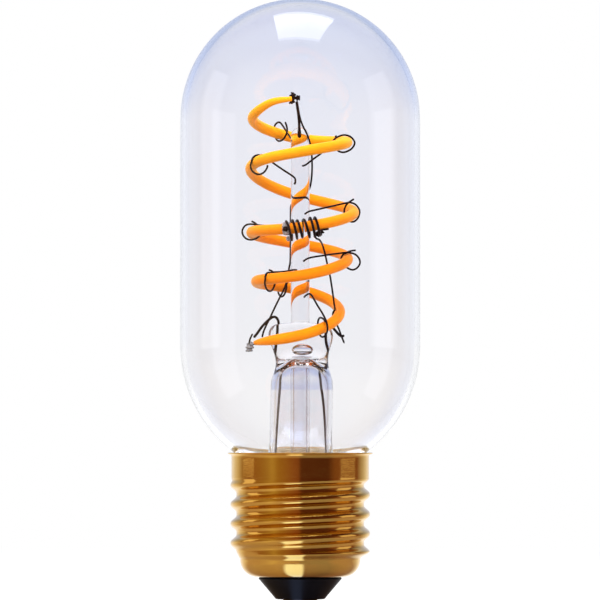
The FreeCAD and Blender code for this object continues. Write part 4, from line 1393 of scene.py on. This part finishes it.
def mirrored_rays(sheet: Sheet, path: bpy.types.Node) -> bpy.types.Node:
    """Add the nodes that tell mirrored rays from those that passed through glass.

    Formula: one where the ray is glossy and was mirrored at least once, otherwise nought, because a
    ray through clear glass counts as glossy too.

    Args:
        sheet: the material's or the world's sheet.
        path: its light path node.

    Returns:
        The node whose output is the share.
    """
    once = sheet.add("Math", operation="MINIMUM")
    once.inputs[1].default_value = 1.0
    turned = sheet.add("Math", operation="MULTIPLY")
    sheet.joins(
        (path, "Glossy Depth", once, 0), (once, 0, turned, 0), (path, "Is Glossy Ray", turned, 1))
    return turned


@dataclass
class Studio:
    """The camera, the pale floor, the white surroundings and the soft lamps.

    The front and near tones are what a mirrored ray meets in front, from the left to the right: far
    off and within three centimetres of the lamp's foot. The backdrop is what it meets behind, and
    what shows through the glass, from level to straight up.
    """

    distance: float = 0.95
    shift: float = -0.0000375
    height: float = 0.030
    aim_height: float = 0.057
    frame_width: float = 0.1125
    room_light: tuple = (0.80, 0.80, 0.81)
    front_tones: list = field(default_factory=lambda: [
        (0.0, (0.35, 0.17, 0.07)), (0.065, (0.41, 0.25, 0.10)), (0.13, (0.52, 0.37, 0.15)),
        (0.205, (0.39, 0.22, 0.065)), (0.40, (0.30, 0.12, 0.06)), (0.475, (0.26, 0.09, 0.045)),
        (0.51, (0.10, 0.030, 0.018)), (0.87, (0.09, 0.026, 0.014)), (0.935, (0.22, 0.085, 0.044)),
        (1.0, (0.255, 0.10, 0.05)),
    ])
    near_tones: list = field(default_factory=lambda: [
        (0.0, (0.35, 0.20, 0.09)), (0.20, (0.36, 0.20, 0.08)), (0.27, (0.30, 0.15, 0.06)),
        (0.32, (1.25, 1.55, 2.6)), (0.52, (1.25, 1.55, 2.6)), (0.56, (0.14, 0.05, 0.03)),
        (0.87, (0.10, 0.03, 0.016)), (1.0, (0.26, 0.12, 0.06)),
    ])
    backdrop: list = field(default_factory=lambda: [
        (0.0, (1.0, 1.0, 1.0)), (0.02, (0.97, 0.98, 1.0)), (0.066, (0.91, 0.93, 1.0)),
        (0.10, (0.80, 0.84, 0.97)), (0.20, (0.66, 0.73, 0.95)), (0.40, (0.50, 0.58, 0.80)),
        (0.60, (0.86, 0.87, 0.90)), (1.0, (0.90, 0.90, 0.92)),
    ])
    boxes: list = field(default_factory=lambda: [
        Softbox("left_box", (-0.62, 0.08, 0.246), (0.30, 0.428), 0.7, aim=(0.0, 0.08, 0.246)),
        Softbox("right_box", (0.62, -0.03, 0.246), (0.37, 0.428), 0.65, aim=(0.0, -0.03, 0.246)),
        Softbox("top_box", (0.008, 0.10, 0.70), (0.34, 0.44), 3.0),
        Softbox("left_fill", (-0.60, -0.75, 0.75), (0.7, 0.7), 6.0, False),
        Softbox("right_fill", (0.70, -0.65, 0.65), (0.7, 0.7), 7.0, False),
        Softbox("top_fill", (0.0, -0.12, 0.75), (0.45, 0.45), 18.0, False),
    ])

    def camera(self) -> None:
        """Place the camera at the photo's distance and height and aim it at the frame's middle."""
        data = bpy.data.cameras.new("view")
        camera = new_object("view", data)
        place = Vector((self.shift, -self.distance, self.height))
        aim = Vector((self.shift, 0.0, self.aim_height))
        camera.location = place
        look_at(camera, aim)
        data.lens = data.sensor_width * (aim - place).length / self.frame_width
        data.clip_start, data.clip_end = 0.05, 60.0
        bpy.context.scene.camera = camera

    def floor(self) -> bpy.types.Object:
        """Make the pale floor, which looks white to the camera but keeps the object's shadow.

        Returns:
            The floor.
        """
        sides = (-FLOOR_REACH, FLOOR_REACH)
        corners = [(x, y, -FLOOR_DROP) for y in sides for x in sides]
        mesh = bpy.data.meshes.new("floor")
        mesh.from_pydata(corners, [], [(0, 1, 3, 2)])
        floor = new_object("floor", mesh)
        material, sheet, output = new_material("pale_floor")
        matt = sheet.add("BsdfDiffuse", Color=(0.8, 0.8, 0.81, 1))
        path = sheet.add("LightPath")
        place = sheet.add("TexCoord")
        split = sheet.add("SeparateXYZ")
        reach = sheet.add("VectorMath", operation="LENGTH")
        far = sheet.add("MapRange", From_Min=0.03, From_Max=0.5, To_Min=0.88, To_Max=1.0)
        aim = sheet.add("VectorMath", operation="NORMALIZE")
        across = sheet.add("MapRange", From_Min=-1.0, From_Max=1.0)
        front = sheet.add("ValToRGB")
        fill_ramp(front, self.front_tones)
        strip = sheet.add("ValToRGB")
        fill_ramp(strip, self.near_tones)
        apart = sheet.add("MapRange", From_Min=0.026, From_Max=0.031)
        ground = sheet.add("Mix", data_type="RGBA")
        back = sheet.add("MapRange", **BACK_SPAN)
        tone = sheet.add("Mix", data_type="RGBA")
        tone.inputs[7].default_value = (1, 1, 1, 1)
        mirrored = sheet.add("Mix", data_type="RGBA")
        mirrored.inputs[6].default_value = (1, 1, 1, 1)
        white = sheet.add("Emission")
        turned = mirrored_rays(sheet, path)
        seen = sheet.add("Math", operation="MAXIMUM")
        straight = sheet.add("Math", operation="MAXIMUM")
        share = sheet.add("Math", operation="MULTIPLY")
        mix = sheet.add("MixShader")
        sheet.joins(
            (place, "Object", aim, 0), (aim, 0, split, "Vector"), (split, "X", across, "Value"),
            (across, "Result", front, "Fac"), (across, "Result", strip, "Fac"),
            (place, "Object", reach, 0), (reach, "Value", apart, "Value"),
            (apart, "Result", ground, "Factor"), (strip, "Color", ground, 6),
            (front, "Color", ground, 7), (ground, 2, tone, 6), (reach, "Value", far, "Value"),
            (split, "Y", back, "Value"), (back, "Result", tone, "Factor"),
            (turned, 0, mirrored, "Factor"), (tone, 2, mirrored, 7), (mirrored, 2, white, "Color"),
            (path, "Is Camera Ray", seen, 0), (path, "Is Glossy Ray", seen, 1), (seen, 0, straight, 0),
            (path, "Is Transmission Ray", straight, 1), (straight, 0, share, 0),
            (far, "Result", share, 1), (share, 0, mix, "Fac"), (matt, "BSDF", mix, 1),
            (white, "Emission", mix, 2), (mix, "Shader", output, "Surface"),
        )
        mesh.materials.append(material)
        return floor

    def surroundings(self) -> None:
        """Set the world: white behind the object for the camera, pale through glass, and a studio
        with a white back and a darker front for what metal and glass mirror."""
        world = bpy.data.worlds.new("studio")
        world.use_nodes = True
        bpy.context.scene.world = world
        sheet = Sheet(world.node_tree)
        output = sheet.add("OutputWorld")
        path = sheet.add("LightPath")
        place = sheet.add("TexCoord")
        split = sheet.add("SeparateXYZ")
        back = sheet.add("MapRange", **BACK_SPAN)
        rise = sheet.add("ValToRGB")
        fill_ramp(rise, self.backdrop)
        across = sheet.add("MapRange", From_Min=-1.0, From_Max=1.0)
        front = sheet.add("ValToRGB")
        fill_ramp(front, self.front_tones)
        mirror = sheet.add("Mix", data_type="RGBA")
        turned = mirrored_rays(sheet, path)
        room = sheet.add("Background", Color=(*self.room_light, 1))
        mirrored = sheet.add("Background")
        through = sheet.add("Background")
        white = sheet.add("Background", Color=(1, 1, 1, 1))
        steps = [sheet.add("MixShader") for _ in range(3)]
        sheet.joins(
            (place, "Generated", split, "Vector"), (split, "Y", back, "Value"),
            (split, "Z", rise, "Fac"), (back, "Result", mirror, "Factor"),
            (split, "X", across, "Value"), (across, "Result", front, "Fac"),
            (front, "Color", mirror, 6), (rise, "Color", mirror, 7), (rise, "Color", through, "Color"),
            (mirror, 2, mirrored, "Color"),
        )
        pairs = ((path.outputs["Is Transmission Ray"], through), (turned.outputs[0], mirrored),
                 (path.outputs["Is Camera Ray"], white))
        before = room
        for step, (kind, shade) in zip(steps, pairs):
            sheet.join(kind, step.inputs["Fac"])
            sheet.joins((before, 0, step, 1), (shade, 0, step, 2))
            before = step
        sheet.join(before.outputs[0], output.inputs["Surface"])

    def build(self) -> None:
        """Make the whole studio and set how the picture is shown."""
        scene = bpy.context.scene
        scene.view_settings.view_transform = "Standard"
        scene.cycles.max_bounces = LIGHT_BOUNCES
        scene.cycles.transmission_bounces = LIGHT_BOUNCES
        scene.cycles.transparent_max_bounces = LIGHT_BOUNCES
        self.camera()
        self.floor()
        self.surroundings()
        for box in self.boxes:
            box.build()


def finishes(effects: Effects) -> dict:
    """Return every material of the lamp by a short name.

    Args:
        effects: the shared node groups.

    Returns:
        Materials by name.
    """
    table = {
        "bulb": GlassFinish("blown_glass", (0.982, 0.985, 1.0), (0.92, 0.935, 0.985),
                            waviness=0.0000004, wave_scale=60.0, ior=1.40),
        "stem": GlassFinish("drawn_glass", (0.955, 0.96, 0.985), (0.80, 0.82, 0.88),
                            waviness=0.000001, wave_scale=120.0),
        "soft": SoftCoating("soft_coating"),
        "wire": SurfaceFinish("dark_drawn_wire", (0.002, 0.0015, 0.002), (0.008, 0.006, 0.008), 0.36,
                              specular=0.2, cloud_scale=900.0, grain_scale=4000.0, depth=0.000004),
        "bright": SurfaceFinish("bright_tinned_metal", (0.55, 0.55, 0.57), (0.26, 0.26, 0.28), 0.28,
                                0.12, metallic=0.6, cloud_scale=900.0, grain_scale=3000.0,
                                depth=0.000006),
        "brass": SurfaceFinish("rolled_brass", (0.76, 0.48, 0.11), (0.70, 0.42, 0.09), 0.11, 0.06,
                               metallic=1.0, cloud_scale=160.0, grain_scale=900.0,
                               stretch=(1.0, 1.0, 9.0), depth=0.000006),
        "black": SurfaceFinish("black_moulding", (0.001, 0.001, 0.0018), (0.0022, 0.0022, 0.0035), 0.42,
                               cloud_scale=240.0, grain_scale=2600.0, depth=0.000006, specular=0.1),
        "cement": SurfaceFinish("pale_cement", (0.86, 0.85, 0.84), (0.92, 0.91, 0.90), 0.85,
                                cloud_scale=500.0, grain_scale=1800.0, depth=0.00005, specular=0.2),
        "board": SurfaceFinish("green_board", (0.06, 0.22, 0.11), (0.08, 0.28, 0.14), 0.4,
                               cloud_scale=700.0, grain_scale=2400.0, depth=0.00001, coat=0.4),
        "moulded": SurfaceFinish("black_package", (0.02, 0.02, 0.022), (0.035, 0.035, 0.038), 0.55,
                                 cloud_scale=800.0, grain_scale=3500.0, depth=0.00001),
        "can": SurfaceFinish("drawn_can", (0.74, 0.75, 0.77), (0.66, 0.67, 0.69), 0.32, metallic=1.0,
                             cloud_scale=400.0, grain_scale=900.0, stretch=(1.0, 1.0, 10.0),
                             depth=0.000005),
        "lacquer": SurfaceFinish("green_lacquer", (0.32, 0.44, 0.30), (0.36, 0.48, 0.33), 0.35,
                                 cloud_scale=600.0, grain_scale=2400.0, depth=0.00001, coat=0.3),
    }
    return {name: finish.material(effects) for name, finish in table.items()}


def report(title: str, pieces: list) -> None:
    """Log each piece of a sub-assembly with its number of faces."""
    for piece in pieces:
        LOG.info("%s: %s, %d faces", title, piece.name, len(piece.data.polygons))


def main() -> None:
    logging.basicConfig(level=logging.INFO, format="%(message)s")
    effects = Effects(cloud_group(), grain_group())
    look = finishes(effects)
    report("bulb", [GlassBulb().build(look["bulb"])])
    report("stem", GlassStem().build(look["stem"]))
    filaments = SoftFilaments()
    report("filaments", filaments.build(look["soft"], look["bright"], look["wire"]))
    stations = np.linspace(filaments.first, filaments.last, 1600)
    report("wires", Wires().build(look["wire"], filaments.axis(stations)))
    report("cap", ScrewCap().build(look["brass"], look["black"], look["cement"], look["bright"]))
    report("driver", Driver().build(look))
    Studio().build()
    bpy.context.view_layer.update()


if __name__ == "__main__":
    main()
